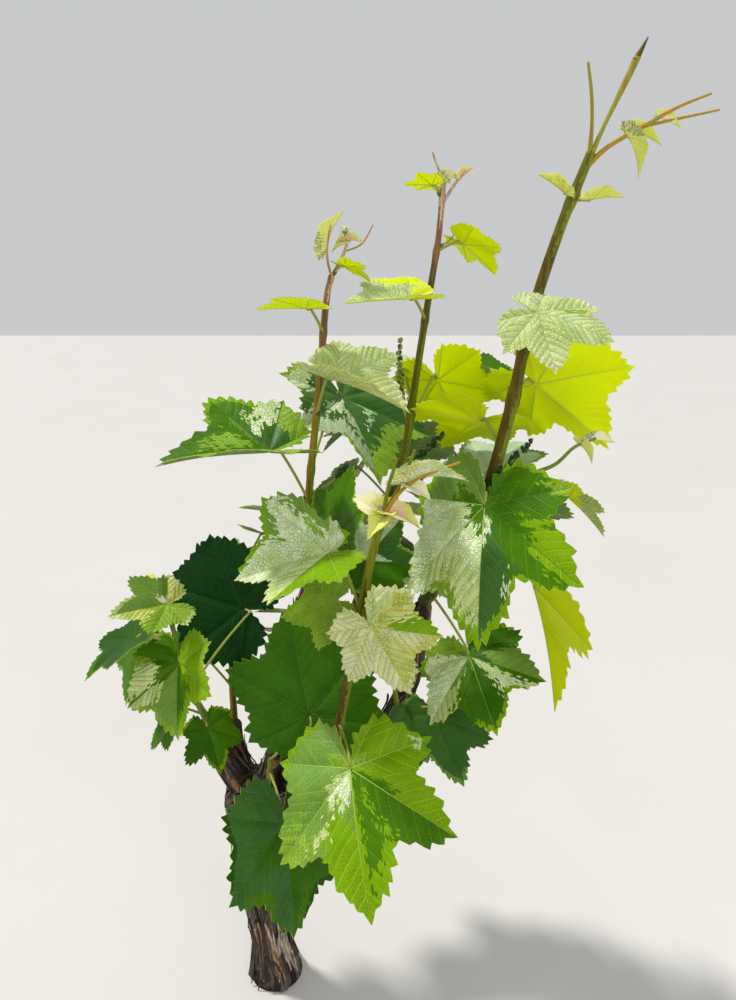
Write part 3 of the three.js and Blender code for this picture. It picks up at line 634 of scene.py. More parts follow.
class Paint:
    """A material under construction: its node tree and its one Principled shader."""

    def __init__(self, name, constants):
        """The constants are values of the shader's own sockets, by name."""
        self.material = bpy.data.materials.new(name)
        self.material.use_nodes = True
        self.nodes = self.material.node_tree.nodes
        self.links = self.material.node_tree.links
        self.shader = self.nodes["Principled BSDF"]
        for socket, value in constants.items():
            self.shader.inputs[socket].default_value = value
        self.place = self.node("TexCoord")["Object"]

    def node(self, kind, inputs=(), **settings):
        """The outputs of a new node, whose inputs are given as values or as links."""
        node = self.nodes.new("ShaderNode" + kind)
        for name, value in settings.items():
            setattr(node, name, value)
        for name, value in dict(inputs).items():
            if isinstance(value, bpy.types.NodeSocket):
                self.links.new(value, node.inputs[name])
            else:
                node.inputs[name].default_value = value
        return node.outputs

    def stretched(self, scale):
        return self.node("Mapping", {"Scale": scale, "Vector": self.place})["Vector"]

    def noise(self, scale, detail, vector=None):
        inputs = {"Scale": scale, "Detail": detail, "Vector": vector or self.place}
        return self.node("TexNoise", inputs)["Fac"]

    def vein_places(self):
        return self.node("UVMap", uv_map=VEIN_MAP)["UV"]

    def cells(self, feature, output):
        """The cells between the small veins, which link the side veins like rungs."""
        inputs = {"Scale": 1.0, "Randomness": CELL_SCATTER, "Vector": self.vein_places()}
        return self.node("TexVoronoi", inputs, voronoi_dimensions="2D", feature=feature)[output]

    def off_side_vein(self):
        """Distance from the nearest side vein, as a share of the space between two."""
        across = self.node("SeparateXYZ", {"Vector": self.vein_places()})["X"]
        return self.maths("PINGPONG", self.maths("MULTIPLY", across, 1 / CELLS_ACROSS), 0.5)

    def maths(self, operation, first, second):
        return self.node("Math", {0: first, 1: second}, operation=operation)["Value"]

    def between(self, value, low, high):
        """From 0 to 1 as a value goes from low to high."""
        return self.node("MapRange", {"From Min": low, "From Max": high, "Value": value})["Result"]

    def mix(self, share, first, second):
        return self.node("Mix", {"Factor": share, "A": first, "B": second}, data_type="RGBA")["Result"]

    def colour(self, output):
        self.links.new(output, self.shader.inputs["Base Color"])

    def bump(self, height, strength, distance):
        """Relief, on top of any that the shader already has."""
        inputs = {"Strength": strength, "Distance": distance, "Height": height}
        for link in self.shader.inputs["Normal"].links:
            inputs["Normal"] = link.from_socket
        self.links.new(self.node("Bump", inputs)["Normal"], self.shader.inputs["Normal"])


def leaf_paint(name):
    """A leaf's surface: soft patches, cells between small veins, side veins, and their relief."""
    body, net, patch = (linear(c) for c in LEAF_PAINTS[name])
    paint = Paint("leaf_" + name, {
        "Roughness": of_paint(ROUGHNESS, name),
        "Specular IOR Level": of_paint(GLOSS, name),
        "Sheen Weight": of_paint(SHEEN, name),
        "Subsurface Weight": of_paint(LET_THROUGH, name),
        "Subsurface Radius": (1.0, 1.0, 0.15),
        "Subsurface Scale": 0.002,
    })
    share = of_paint(NET_SHARE, name)
    patches = paint.between(paint.noise(38.0, 4.0), 0.42, 0.62)
    # Cells of random tone between body and patch; on the glossy white paint the light cells are painted
    # glints.
    cell_tone = paint.maths("MULTIPLY", paint.cells("F1", "Color"), share)
    toned = paint.mix(paint.maths("MAXIMUM", patches, cell_tone), body, patch)
    edge = paint.cells("DISTANCE_TO_EDGE", "Distance")
    faint = paint.maths("MAXIMUM", paint.between(paint.noise(70.0, 2.0), 0.25, 0.6), 1.0 - share)
    lines = paint.between(edge, 0.01, of_paint(NET_WIDTH, name))
    netted = paint.mix(paint.maths("MAXIMUM", lines, faint), net, toned)
    side_vein = paint.off_side_vein()
    side_ink = linear(SIDE_VEIN.get(name, LEAF_PAINTS[name][1]))
    paint.colour(paint.mix(paint.between(side_vein, 0.012, 0.04), side_ink, netted))
    height = paint.maths("MULTIPLY", paint.between(edge, 0.0, 0.3), paint.between(side_vein, 0.0, 0.12))
    paint.bump(height, of_paint(NET_RELIEF, name), of_paint(NET_DEPTH, name))
    if name in PLEAT_DEPTH:
        paint.bump(paint.between(side_vein, 0.0, 0.5), 1.0, PLEAT_DEPTH[name])
    return paint.material


def stem_paint(name):
    """A stem's surface: long streaks of a second tone."""
    body, streak = (linear(c) for c in STEM_PAINTS[name])
    paint = Paint("stem_" + name, {"Roughness": STEM_ROUGHNESS, "Specular IOR Level": STEM_GLOSS})
    streaks = paint.noise(420.0, 3.0, paint.stretched((1.0, 1.0, 0.07)))
    paint.colour(paint.mix(paint.between(streaks, 0.4, 0.62), body, streak))
    paint.bump(streaks, 0.3, 0.0004)
    return paint.material


def bark_paint(name):
    """Old bark: fibres of two tones up and down the wood, and dark specks."""
    first, second, roughness = BARK_PAINTS[name]
    paint = Paint(name, {"Roughness": roughness})
    fibres = paint.noise(520.0, 5.0, paint.stretched((1.0, 1.0, 0.06)))
    specks = paint.noise(900.0, 2.0)
    toned = paint.mix(paint.between(fibres, 0.36, 0.64), linear(first), linear(second))
    dark = tuple(SPECK_DARKNESS * c for c in linear(first)[:3]) + (1.0,)
    paint.colour(paint.mix(paint.between(specks, 0.58, 0.72), toned, dark))
    paint.bump(fibres, 0.8, 0.0012)
    return paint.material


def floor_paint():
    paint = Paint("pale_floor", {"Roughness": FLOOR_ROUGHNESS})
    first, second = (linear(c) for c in FLOOR_TONES)
    paint.colour(paint.mix(paint.noise(3.0, 2.0), first, second))
    return paint.material


PAINTS = {name: leaf_paint(name) for name in LEAF_PAINTS}
PAINTS.update({name: stem_paint(name) for name in STEM_PAINTS})
PAINTS.update({name: bark_paint(name) for name in BARK_PAINTS})


# Meshes

def add_object(name, data):
    thing = bpy.data.objects.new(name, data)
    bpy.context.collection.objects.link(thing)
    return thing


class Heap:
    """Many small closed shapes that become one piece, each face with its own paint."""

    def __init__(self, name, nodes, slot):
        self.name = name
        self.replaced = nodes
        self.slot = slot
        self.points = []
        self.faces = []
        self.paint_names = []
        self.paints = []
        self.creases = []
        self.spots = []
        self.count = 0

    def paint(self, name):
        if name not in self.paint_names:
            self.paint_names.append(name)
        return self.paint_names.index(name)

    def add(self, points, *groups, crease=None):
        """Each group is faces as rows of point numbers, their paints, and their vein places."""
        self.points.append(points)
        for faces, paints, *spots in groups:
            faces = np.asarray(faces)
            self.faces.extend((faces + self.count).tolist())
            self.paints.extend(np.broadcast_to(paints, len(faces)).tolist())
            self.spots.append(spots[0].reshape(-1) if spots else np.zeros(2 * faces.size))
        self.creases.append(np.zeros(len(points), int) if crease is None else crease)
        self.count += len(points)

    def finish(self):
        """The piece, with an edge sharp where both its points have the same crease number."""
        if not self.points:
            return
        mesh = bpy.data.meshes.new(self.name)
        mesh.from_pydata((np.vstack(self.points) * MM).tolist(), [], self.faces)
        mesh.polygons.foreach_set("use_smooth", np.ones(len(self.faces), bool))
        for name in self.paint_names:
            mesh.materials.append(PAINTS[name])
        mesh.polygons.foreach_set("material_index", np.array(self.paints, np.int32))
        ends = np.zeros(2 * len(mesh.edges), np.int32)
        mesh.edges.foreach_get("vertices", ends)
        marks = np.concatenate(self.creases)[ends.reshape(-1, 2)]
        mesh.edges.foreach_set("use_edge_sharp", (marks[:, 0] > 0) & (marks[:, 0] == marks[:, 1]))
        mesh.uv_layers.new(name=VEIN_MAP).data.foreach_set("uv", np.concatenate(self.spots))
        mesh.update()
        piece = add_object(self.name, mesh)
        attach(piece, BODY)
        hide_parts(*self.replaced)


def unit(vectors):
    return vectors / np.linalg.norm(vectors, axis=-1)[..., None]


def smooth_step(value):
    value = np.clip(value, 0, 1)
    return value * value * (3 - 2 * value)


def along(values, share):
    """Value along a list of evenly spaced stations."""
    return np.interp(np.clip(share, 0, 1) * (len(values) - 1), np.arange(len(values)), values)


def curve_points(path, shares):
    """Points of the smooth curve through a path, at shares of its length in stations."""
    knots = np.array(path, float)
    knots = np.vstack([2 * knots[0] - knots[1], knots, 2 * knots[-1] - knots[-2]])
    place = np.clip(np.atleast_1d(shares), 0, 1) * (len(path) - 1)
    low = np.minimum(place.astype(int), len(path) - 2)
    w = (place - low)[:, None]
    before, start, end, after = knots[low], knots[low + 1], knots[low + 2], knots[low + 3]
    out, into = (end - before) / 2, (after - start) / 2
    square, cube = w * w, w * w * w
    return (
        (2 * cube - 3 * square + 1) * start + (cube - 2 * square + w) * out
        + (3 * square - 2 * cube) * end + (cube - square) * into
    )


def line_length(path):
    """Length of the smooth curve through a path."""
    guide = curve_points(path, np.linspace(0, 1, 200))
    return np.linalg.norm(np.diff(guide, axis=0), axis=1).sum()


def carried_frames(centres):
    """Two side directions at each point of a line, carried along it with no twist."""
    tangents = unit(np.gradient(centres, axis=0))
    side = np.array([1.0 if abs(tangents[0][0]) < 0.9 else 0.0, 0.3, 0.0])
    sides = []
    for tangent in tangents:
        side = unit(side - side.dot(tangent) * tangent)
        sides.append(side)
    sides = np.array(sides)
    return sides, np.cross(sides, tangents)


def ring_points(centres, radii, first, second):
    """Rings of points round a line, from two side directions. Radii have a row for each ring."""
    angles = 2 * np.pi * np.arange(radii.shape[1]) / radii.shape[1]
    spread = np.cos(angles)[:, None] * first[:, None] + np.sin(angles)[:, None] * second[:, None]
    return (centres[:, None] + radii[..., None] * spread).reshape(-1, 3)


def ring_faces(rings, sides, start=0):
    """Quads between rings of points, which are numbered from a start."""
    ring, turn = np.meshgrid(np.arange(rings - 1), np.arange(sides), indexing="ij")
    here, on = start + ring * sides + turn, start + ring * sides + (turn + 1) % sides
    return np.stack([here, here + sides, on + sides, on], axis=-1).reshape(-1, 4)


def fan_faces(tip, start, sides):
    """Triangles from a tip to the ring of points that is numbered from a start."""
    turn = np.arange(sides)
    return np.stack([np.full(sides, tip), start + turn, start + (turn + 1) % sides], axis=-1)


def closed_faces(rings, sides, mirrored):
    """Quads between rings, and fans to a foot and a tip, the two points that follow the rings.

    They are mirrored where the rings turn the other way, so that they face outwards.
    """
    foot = fan_faces(rings * sides, 0, sides)
    tip = fan_faces(rings * sides + 1, (rings - 1) * sides, sides)[:, [0, 2, 1]]
    groups = [ring_faces(rings, sides), foot, tip]
    return [faces[:, ::-1] for faces in groups] if mirrored else groups


def ribbon_faces(count):
    """The faces of a closed ribbon with four corners at each of its stations."""
    last = 4 * (count - 1)
    return np.vstack([ring_faces(count, 4), [[0, 1, 2, 3], [last + 3, last + 2, last + 1, last]]])


def add_tube(heap, centres, radii, sides, paints):
    """A closed tube round a line. Radii and paints are one for each ring, or a row for each ring."""
    centres, radii = np.asarray(centres, float), np.asarray(radii, float)
    rings = len(centres)
    radii = np.broadcast_to(radii if radii.ndim > 1 else radii[:, None], (rings, sides))
    paints = np.broadcast_to(paints if np.ndim(paints) > 1 else np.reshape(paints, (-1, 1)), (rings, sides))
    first, second = carried_frames(centres)
    foot = centres[0] + unit(centres[0] - centres[1]) * radii[0].mean() * END_BULGE
    tip = centres[-1] + unit(centres[-1] - centres[-2]) * radii[-1].mean() * END_BULGE
    points = np.vstack([ring_points(centres, radii, second, first), foot, tip])
    quads, low, high = closed_faces(rings, sides, mirrored=True)
    heap.add(points, (quads, paints[:-1].reshape(-1)), (low, paints[0]), (high, paints[-1]))


# Wood

def smooth_noise(x, y, columns, rows, seed):
    """Noise from 0 to 1 on unit cells, which closes on itself after a number of columns."""
    table = np.random.default_rng(seed).random((columns, rows + 2))
    column, row = np.floor(x).astype(int), np.floor(y).astype(int)
    fx, fy = smooth_step(x - column), smooth_step(y - row)
    left, right = column % columns, (column + 1) % columns
    low, high = np.clip(row, 0, rows), np.clip(row + 1, 0, rows + 1)
    bottom = table[left, low] * (1 - fx) + table[right, low] * fx
    top = table[left, high] * (1 - fx) + table[right, high] * fx
    return bottom * (1 - fy) + top * fy


def ruggedness(share, angle):
    return 1 + 0.08 * np.sin(3 * angle + 9 * share) + 0.06 * np.sin(5 * angle - 14 * share + 1)


def bark_relief(angle, height, girth, length, seed):
    """Shaggy bark from -1 to 1: long plates, fibres in them, and fine threads."""
    turn = angle / (2 * np.pi)
    relief = np.zeros_like(turn)
    wander = 0.9 * np.sin(height / 23.0 + seed) + 0.5 * np.sin(height / 9.0 + 2 * seed)
    for size, stretch, weight in BARK_LAYERS:
        columns = max(6, int(round(girth / size)))
        rows = int(length / stretch) + 2
        layer = smooth_noise(turn * columns + wander, height / stretch, columns, rows, seed + columns)
        relief += weight * (1 - 2 * np.abs(2 * layer - 1))
    return relief


def bark_paints(heap, relief, angle, height, girth, length, tan_share, seed):
    """Deep folds are dark, in part as painted shade, ridges are grey, and some ridges are a dry tan along
    their fibres.
    """
    columns = max(8, int(girth / 6.0))
    turn = angle / (2 * np.pi) * columns + 0.5 * np.sin(height / 17.0 + seed)
    dryness = smooth_noise(turn, height / DRY_LENGTH, columns, int(length / DRY_LENGTH) + 2, seed + 5)
    paints = np.where(relief < 0.02, heap.paint("bark_deep"), heap.paint("bark_mid"))
    paints = np.where((relief > 0.28) & (dryness > 0.45), heap.paint("bark_grey"), paints)
    return np.where((relief > 0.3) & (dryness > 1 - tan_share), heap.paint("bark_tan"), paints)


def add_limb(heap, limb, sides, spacing, depth, tan_share, seed, level=False):
    """A limb with bark relief, round at its tip. The trunk stands on level rings."""
    length = line_length(limb["path"])
    rings = int(length / spacing)
    shares = np.linspace(0, 1, rings)
    centres = curve_points(limb["path"], shares)
    angle, share = np.meshgrid(2 * np.pi * np.arange(sides) / sides, shares)
    base = along(limb["radii"], share)
    measures = (angle, share * length, 2 * np.pi * base.mean(), length)
    relief = bark_relief(*measures, seed)
    grown = base * ruggedness(share, angle) + depth * relief
    tip = np.clip((1 - share) * length / (TIP_ROUNDING * limb["radii"][-1]), 0, 1)
    grown *= np.sqrt(np.clip(1 - (1 - tip) ** 2, 0.03, 1))
    first, second = carried_frames(centres)
    if level:
        grown = np.where(share == 0, base, grown)
        first = np.tile([0.0, -1.0, 0.0], (rings, 1))
        second = np.tile([1.0, 0.0, 0.0], (rings, 1))
    points = np.vstack([ring_points(centres, grown, first, second), centres[0], centres[-1]])
    paints = bark_paints(heap, relief, *measures, tan_share, seed)[:-1]
    deep = heap.paint("bark_deep")
    quads, foot, top = closed_faces(rings, sides, mirrored=level)
    heap.add(points, (quads, paints.reshape(-1)), (foot, deep), (top, deep))


def add_strip(heap, line, outward, width, paint, twist):
    """A peeling strip of bark: a thin closed ribbon along a line."""
    count = len(line)
    tangents = unit(np.gradient(line, axis=0))
    across = unit(np.cross(tangents, outward))
    up = np.cross(across, tangents)
    turn = np.linspace(0, twist, count)[:, None]
    across, up = across * np.cos(turn) + up * np.sin(turn), up * np.cos(turn) - across * np.sin(turn)
    taper = np.sqrt(np.clip(np.sin(np.pi * np.linspace(0.04, 0.96, count)), 0, 1))[:, None]
    side, rise = across * (0.5 * width * taper), up * (0.5 * STRIP_THICKNESS)
    corners = [line - side - rise, line + side - rise, line + side + rise, line - side + rise]
    heap.add(np.stack(corners, axis=1).reshape(-1, 3), (ribbon_faces(count), paint))


def add_strips(heap, limb, count, reach, tan_share, seed, high=1.0, turns=(0.0, 360.0), dry="bark_tan"):
    """Strips of old bark that peel off a limb, up to a share of its length and at some headings."""
    rng = np.random.default_rng(seed)
    length = line_length(limb["path"])
    steps = np.linspace(0, 1, STRIP_STATIONS)
    for _ in range(count):
        span = rng.uniform(0.35, 1.0) * reach
        start = rng.uniform(0, max(length * high - span, 1))
        shares = np.linspace(start, min(start + span, length * 0.99), STRIP_STATIONS) / length
        centres = curve_points(limb["path"], shares)
        tangents = unit(np.gradient(centres, axis=0))
        angle = math.radians(rng.uniform(*turns)) + rng.uniform(-STRIP_DRIFT, STRIP_DRIFT) * steps
        outward = np.stack([np.cos(angle), np.sin(angle), 0.2 + 0 * angle], axis=1)
        outward = unit(outward - (outward * tangents).sum(axis=1)[:, None] * tangents)
        lift = rng.uniform(*STRIP_LIFTS) * steps ** 3
        if rng.random() < 0.5:
            lift = lift[::-1]
        radius = along(limb["radii"], shares) * 1.02 + STRIP_SEAT + lift
        line = centres + outward * radius[:, None]
        line[:, 2] = np.maximum(line[:, 2], GROUND_GAP)
        draw = rng.random()
        name = dry if draw < tan_share else "bark_grey" if draw < 0.5 else "bark_mid"
        width, twist = rng.uniform(*STRIP_WIDTHS), rng.uniform(-STRIP_TWIST, STRIP_TWIST)
        add_strip(heap, line, outward, width, heap.paint(name), twist)


# Leaves

def leaf_axes(heading, dip, roll):
    """The blade's own axes: along the midrib, across it, and out of its upper side."""
    heading, dip, roll = (math.radians(a) for a in (heading, dip, roll))
    level = np.array([math.cos(heading), math.sin(heading), 0.0])
    midrib = level * math.cos(dip) - np.array([0, 0, math.sin(dip)])
    up = level * math.sin(dip) + np.array([0, 0, math.cos(dip)])
    across = np.cross(midrib, up)
    turned = across * math.cos(roll) + up * math.sin(roll)
    return midrib, turned, up * math.cos(roll) - across * math.sin(roll)


def half_outline(length, shape, rear, lobing, rng):
    """Outline of half a blade from tip to notch: points (u, v) of its smooth base and of its teeth."""
    angles = np.radians(np.linspace(0, 180, 180 * OUTLINE_STEPS + 1))
    degrees = np.degrees(angles)
    table = np.array(OUTLINE, float)
    depth = rng.uniform(*NOTCH_DEPTHS)
    reach = np.interp(degrees, table[:, 0], 1 - (1 - table[:, 1]) * depth)
    hull = np.interp(degrees, PRIMARY_VEINS, reach[np.array(PRIMARY_VEINS) * OUTLINE_STEPS])
    reach = np.where(angles < math.radians(PRIMARY_VEINS[-1]), hull + (reach - hull) * lobing, reach)
    reach *= 1 - (1 - rear) * smooth_step((degrees - REAR_START) / REAR_SPAN)
    reach = np.maximum(reach, 0.04) * length * (1 - TOOTH_SIZE)
    outline = np.stack([reach * np.sin(angles), reach * np.cos(angles)], axis=1)
    run = np.concatenate([[0], np.cumsum(np.linalg.norm(np.diff(outline, axis=0), axis=1))])
    slope = np.gradient(outline, axis=0)
    normal = unit(np.stack([-slope[:, 1], slope[:, 0]], axis=1))
    period = max(SHORTEST_TOOTH, TOOTH_PERIOD * length)
    places, rises = [], []
    for first, second in zip(TOOTH_ANGLES, TOOTH_ANGLES[1:]):
        start, end = np.interp(np.radians([first, second]), angles, run)
        teeth = max(2, int(round((end - start) / period)))
        shifts = rng.uniform(-TOOTH_SHIFT, TOOTH_SHIFT, teeth - 1)
        bounds = np.arange(teeth + 1) + np.concatenate([[0], shifts, [0]])
        sizes = np.concatenate([[LOBE_TOOTH], rng.uniform(*TOOTH_SIZES, teeth - 1), [LOBE_TOOTH]])
        sizes = sizes * TOOTH_SIZE * length
        for tooth in range(teeth):
            for x, share in shape:
                rise = share * (sizes[tooth] if x < 0.5 else sizes[tooth + 1])
                spot = bounds[tooth] + (bounds[tooth + 1] - bounds[tooth]) * x
                lean = TOOTH_LEAN * rise * np.clip(4 * spot / teeth - 2, -1, 1) * (0 < spot)
                places.append(start + (end - start) * spot / teeth + lean)
                rises.append(rise)
    sinus = np.interp(np.radians(SINUS_ANGLES), angles, run)
    places = np.concatenate([places, sinus])
    rises = np.concatenate([rises, np.zeros(len(sinus))])
    base = np.stack([np.interp(places, run, outline[:, k]) for k in range(2)], axis=1)
    outward = np.stack([np.interp(places, run, normal[:, k]) for k in range(2)], axis=1)
    teeth = base + unit(outward + unit(base)) * rises[:, None]
    base[0, 0] = teeth[0, 0] = 0.0
    return np.stack([base, teeth])


class Blade:
    """One leaf: its outline, its curved surface and where its veins run."""

    def __init__(
        self, hub, length, heading, dip, roll, fold, seed,
        hidden=False, narrow=1.0, rear=(1.0, 1.0), lobing=1.0, pleat=1.0, curl=0.0,
    ):
        """Narrow, rear, lobing and pleat are shares of the width, hind lobes, notches and folds.

        Curl is added to the droop of the tip. A hidden leaf has fewer rings and teeth.
        """
        self.hub = np.array(hub, float)
        self.length = length
        self.midrib, self.across, self.up = leaf_axes(heading, dip, roll)
        self.fold = math.radians(fold)
        self.narrow = narrow
        self.rear = rear
        self.pleat = pleat
        self.droop = BLADE_DROOP + curl
        self.ring_spacing = HIDDEN_RING_SPACING if hidden else RING_SPACING
        rng = np.random.default_rng(seed)
        shape = SMALL_TOOTH_SHAPE if hidden or length < SMALL_BLADE else TOOTH_SHAPE
        right = half_outline(length, shape, rear[0], lobing, rng)
        left = half_outline(length, shape, rear[1], lobing, rng)
        left[:, :, 0] *= -1
        self.base, self.rim = np.concatenate([right, left[:, :0:-1]], axis=1) * np.array([narrow, 1.0])
        self.waves = rng.uniform(0, 2 * np.pi, 4)
        self.wave_size = rng.uniform(*WAVE_SIZES) * length
        self.offsets = rng.uniform(0, 1, 7)
        self.spacing = max(SECONDARY_SPACING * length, CLOSEST_VEINS)

    def owners(self, u, v):
        """Number of the nearest main vein, the side of it and the half of the blade."""
        angle = np.degrees(np.arctan2(np.abs(u), v))
        mains = np.array(PRIMARY_VEINS, float)
        owner = np.abs(angle[..., None] - mains).argmin(axis=-1)
        return owner, angle > mains[owner], u < 0

    def vein_place(self, u, v, owner, side, half):
        """Side veins passed, way along them, and distances from the main vein and the next one's."""
        mains = np.radians(np.array(PRIMARY_VEINS, float))
        off = np.arctan2(np.where(half, -u, u), v) - mains[owner]
        radius = np.hypot(u, v)
        way, away = radius * np.cos(off), np.abs(radius * np.sin(off))
        bent = way - away / math.tan(SECONDARY_ANGLE) - SECONDARY_BEND * away * away / self.length
        phase = bent / self.spacing + (self.offsets[owner] + 0.45 * side + 0.37 * half)
        phase = phase + 0.12 * np.sin(1.9 * phase + self.waves[1])
        run = way * math.cos(SECONDARY_ANGLE) + away * math.sin(SECONDARY_ANGLE)
        gap = np.radians(np.where(side, np.array(GAPS)[owner + 1], np.array(GAPS)[owner])) / 2
        return phase, run, away, radius * np.sin(np.clip(gap - np.abs(off), 0, 1))

    def relief(self, u, v):
        """The blade is puffed up between its side veins and sunk along its veins."""
        phase, _, away, edge = self.vein_place(u, v, *self.owners(u, v))
        puff = np.abs(np.sin(np.pi * phase)) ** 1.1
        inside = smooth_step(edge / (0.13 * self.length))
        near = smooth_step(away / (0.06 * self.length))
        body = 0.6 + (puff - 0.6) * inside
        arch = np.sin(0.5 * np.pi * away / (away + edge + 0.01))
        arch = arch * smooth_step(np.hypot(u, v) / (0.35 * self.length))
        return self.length * (PUFF * body * near - VEIN_SINK * (1 - near) + ARCH * self.pleat * arch)

    def vein_spots(self, u, v):
        """Places of each face's corners on the map of small veins, which each flank has its own."""
        owner, side, half = (a[:, None] for a in self.owners(u.mean(axis=1), v.mean(axis=1)))
        phase, run, _, _ = self.vein_place(u, v, owner, side, half)
        apart = FLANK_SPACE * CELLS_ACROSS * (2 * owner + side + 10 * half)
        return np.stack([phase * CELLS_ACROSS + apart, run / CELL_LENGTH + self.waves[0]], axis=-1)

    def height(self, u, v):
        """Height over the blade's own plane: its fold, its droop, its waves and its relief."""
        length = self.length
        soft = 0.02 * length
        rise = (np.sqrt(u * u + soft * soft) - soft) * math.sin(self.fold)
        droop = np.where(v > 0, self.droop * v * v / length, 0)
        angle = np.arctan2(u, v)
        out = np.hypot(u, v) / length
        wave = np.sin(3 * angle + self.waves[0]) + 0.7 * np.sin(7 * angle + self.waves[1])
        ruffle = 0.4 * out * out * np.sin(13 * angle + self.waves[2])
        return rise - droop + self.wave_size * out * out * (wave + ruffle) + self.relief(u, v)

    def point(self, u, v):
        u, v = np.asarray(u, float), np.asarray(v, float)
        return (
            self.hub
            + (u * math.cos(self.fold))[..., None] * self.across
            + v[..., None] * self.midrib
            + self.height(u, v)[..., None] * self.up
        )

    def normal(self, u, v):
        along_u = self.point(u + NORMAL_STEP, v) - self.point(u - NORMAL_STEP, v)
        along_v = self.point(u, v + NORMAL_STEP) - self.point(u, v - NORMAL_STEP)
        return unit(np.cross(along_u, along_v))

    def reach(self, angle):
        """Reach of the outline at an angle in degrees, for the ends of the veins."""
        table = np.array(OUTLINE, float)
        return np.interp(angle, table[:, 0], table[:, 1]) * self.length


def add_blade(heap, blade, plus, minus, margin, under, patches=(), through=False):
    """A closed thin blade of two skins and a rim, with its colours dealt out over its faces.

    A patch lies between two angles from the midrib, + across, and two shares of the way out, and
    has its paint. It ends sharply at a main vein. One that goes through shows below too. Patches
    paint cast shadows, sunlit and lit-through parts and glossy reflections of the sky.
    """
    rim, count = blade.rim, len(blade.rim)
    inner = int(np.clip(blade.length / blade.ring_spacing, *RING_RANGE))
    shares = INNER_REACH * (np.arange(1, inner + 1) / inner) ** 0.95
    steps = np.array(TOOTH_RINGS)[:, None, None]
    places = np.concatenate([shares[:, None, None] * blade.base, blade.base + steps * (rim - blade.base)])
    u, v = places[..., 0], places[..., 1]
    rings, shares = len(places), np.append(shares, np.ones(len(TOOTH_RINGS)))
    half, zero = 0.5 * LEAF_THICKNESS, np.zeros(1)
    middle, normal = blade.point(u, v), blade.normal(u, v)
    centre, out = blade.point(zero, zero), blade.normal(zero, zero)
    top = np.vstack([(middle + half * normal).reshape(-1, 3), centre + half * out])
    low = np.vstack([(middle - half * normal).reshape(-1, 3), centre - half * out])
    points, start = np.vstack([top, low]), len(top)
    flat_u, flat_v = np.tile(np.append(u, 0), 2), np.tile(np.append(v, 0), 2)

    def skin(first):
        quads = ring_faces(rings, count, first)[:, [0, 3, 2, 1]]
        return quads, fan_faces(first + rings * count, first, count)[:, [0, 2, 1]]

    def face_places(faces):
        """The middles of faces, and the side veins passed by there."""
        face_u, face_v = flat_u[faces].mean(axis=1), flat_v[faces].mean(axis=1)
        return face_u, face_v, blade.vein_place(face_u, face_v, *blade.owners(face_u, face_v))[0]

    def dealt(faces, share, paints):
        """The paints of faces, once the patches are over them."""
        face_u, face_v, phase = face_places(faces)
        swing = np.sin(2 * np.pi * phase)
        wander = np.sin(face_u / 3.1 + 2 * np.sin(face_v / 4.3))
        across, out, size = SPECK_SCATTER
        speck = np.modf(np.abs(np.sin(face_u * across + face_v * out) * size))[0] - 0.5
        turned = np.degrees(np.arctan2(face_u, face_v))
        off_vein = np.abs(np.abs(turned)[:, None] - np.array(PRIMARY_VEINS)).min(axis=1)
        turned = turned + PATCH_SWING * off_vein * swing
        turned = turned + PATCH_SPECKS[0] * np.clip(off_vein / SPECK_GROWTH, 0, 1) * speck
        reached = share + PATCH_WANDER[0] * swing + PATCH_WANDER[1] * wander + PATCH_SPECKS[1] * speck
        reached = np.clip(reached, 0.001, 0.999)
        for first, end, near, far, paint in patches:
            inside = (turned > first) & (turned < end) & (reached > near) & (reached < far)
            paints = np.where(inside, heap.paint(paint), paints)
        return paints

    quads, fan = skin(0)
    low_quads, low_fan = skin(start)
    turn = np.arange(count)
    on = (turn + 1) % count
    last, low_last = (rings - 1) * count, start + (rings - 1) * count
    wall = np.stack([last + turn, last + on, low_last + on, low_last + turn], axis=-1)

    face_u, face_v, phase = face_places(quads)
    out_share = np.repeat(shares[1:], count)
    # Each half's paint is often a lit or a shaded tone: painted light and painted shade.
    paints = dealt(quads, out_share, np.where(face_u > 0, heap.paint(plus), heap.paint(minus)))
    # The margin band: a lighter edge, in part painted light shining through it.
    turn_waves = np.clip(np.sin(3 * np.arctan2(face_u, face_v) + blade.waves[3]), 0, 1)
    band = 1.0 - turn_waves * (0.01 + 0.045 * np.abs(np.sin(np.pi * phase)))
    paints = np.where((out_share > band) & (turn_waves > 0.2), heap.paint(margin), paints)
    fan_paints = dealt(fan, 0.01, np.where(rim[:, 0] > 0, heap.paint(plus), heap.paint(minus)))
    low_paint = heap.paint(under)
    low_paints = np.full(len(quads), low_paint)
    if through:
        low_paints = dealt(quads, out_share, low_paints)

    crease = np.zeros(len(points), int)
    crease[last:last + count] = 1
    crease[low_last:low_last + count] = 2
    groups = [
        (quads, paints),
        (fan, fan_paints),
        (low_quads[:, ::-1], low_paints),
        (low_fan[:, ::-1], low_paint),
        # The rim wall's paint is painted light: a bright yellow-green edge, as if lit through.
        (wall, heap.paint("rim")),
    ]
    mapped = [(faces, inks, blade.vein_spots(flat_u[faces], flat_v[faces])) for faces, inks in groups]
    heap.add(points, *mapped, crease=crease)
    blade.skins = {
        1: BVHTree.FromPolygons(top.tolist(), quads.tolist() + fan.tolist()),
        -1: BVHTree.FromPolygons(points.tolist(), low_quads.tolist() + low_fan.tolist()),
    }


def on_skin(blade, u, v, side):
    """Points where the blade's skin of one side passes over places of the blade."""
    points, normals = blade.point(u, v), blade.normal(u, v) * side
    for number, (point, normal) in enumerate(zip(points, normals)):
        above = Vector(point + SKIN_SEARCH * normal)
        hit = blade.skins[side].ray_cast(above, Vector(-normal), 2 * SKIN_SEARCH)[0]
        if hit is not None:
            points[number] = hit
    return points, normals


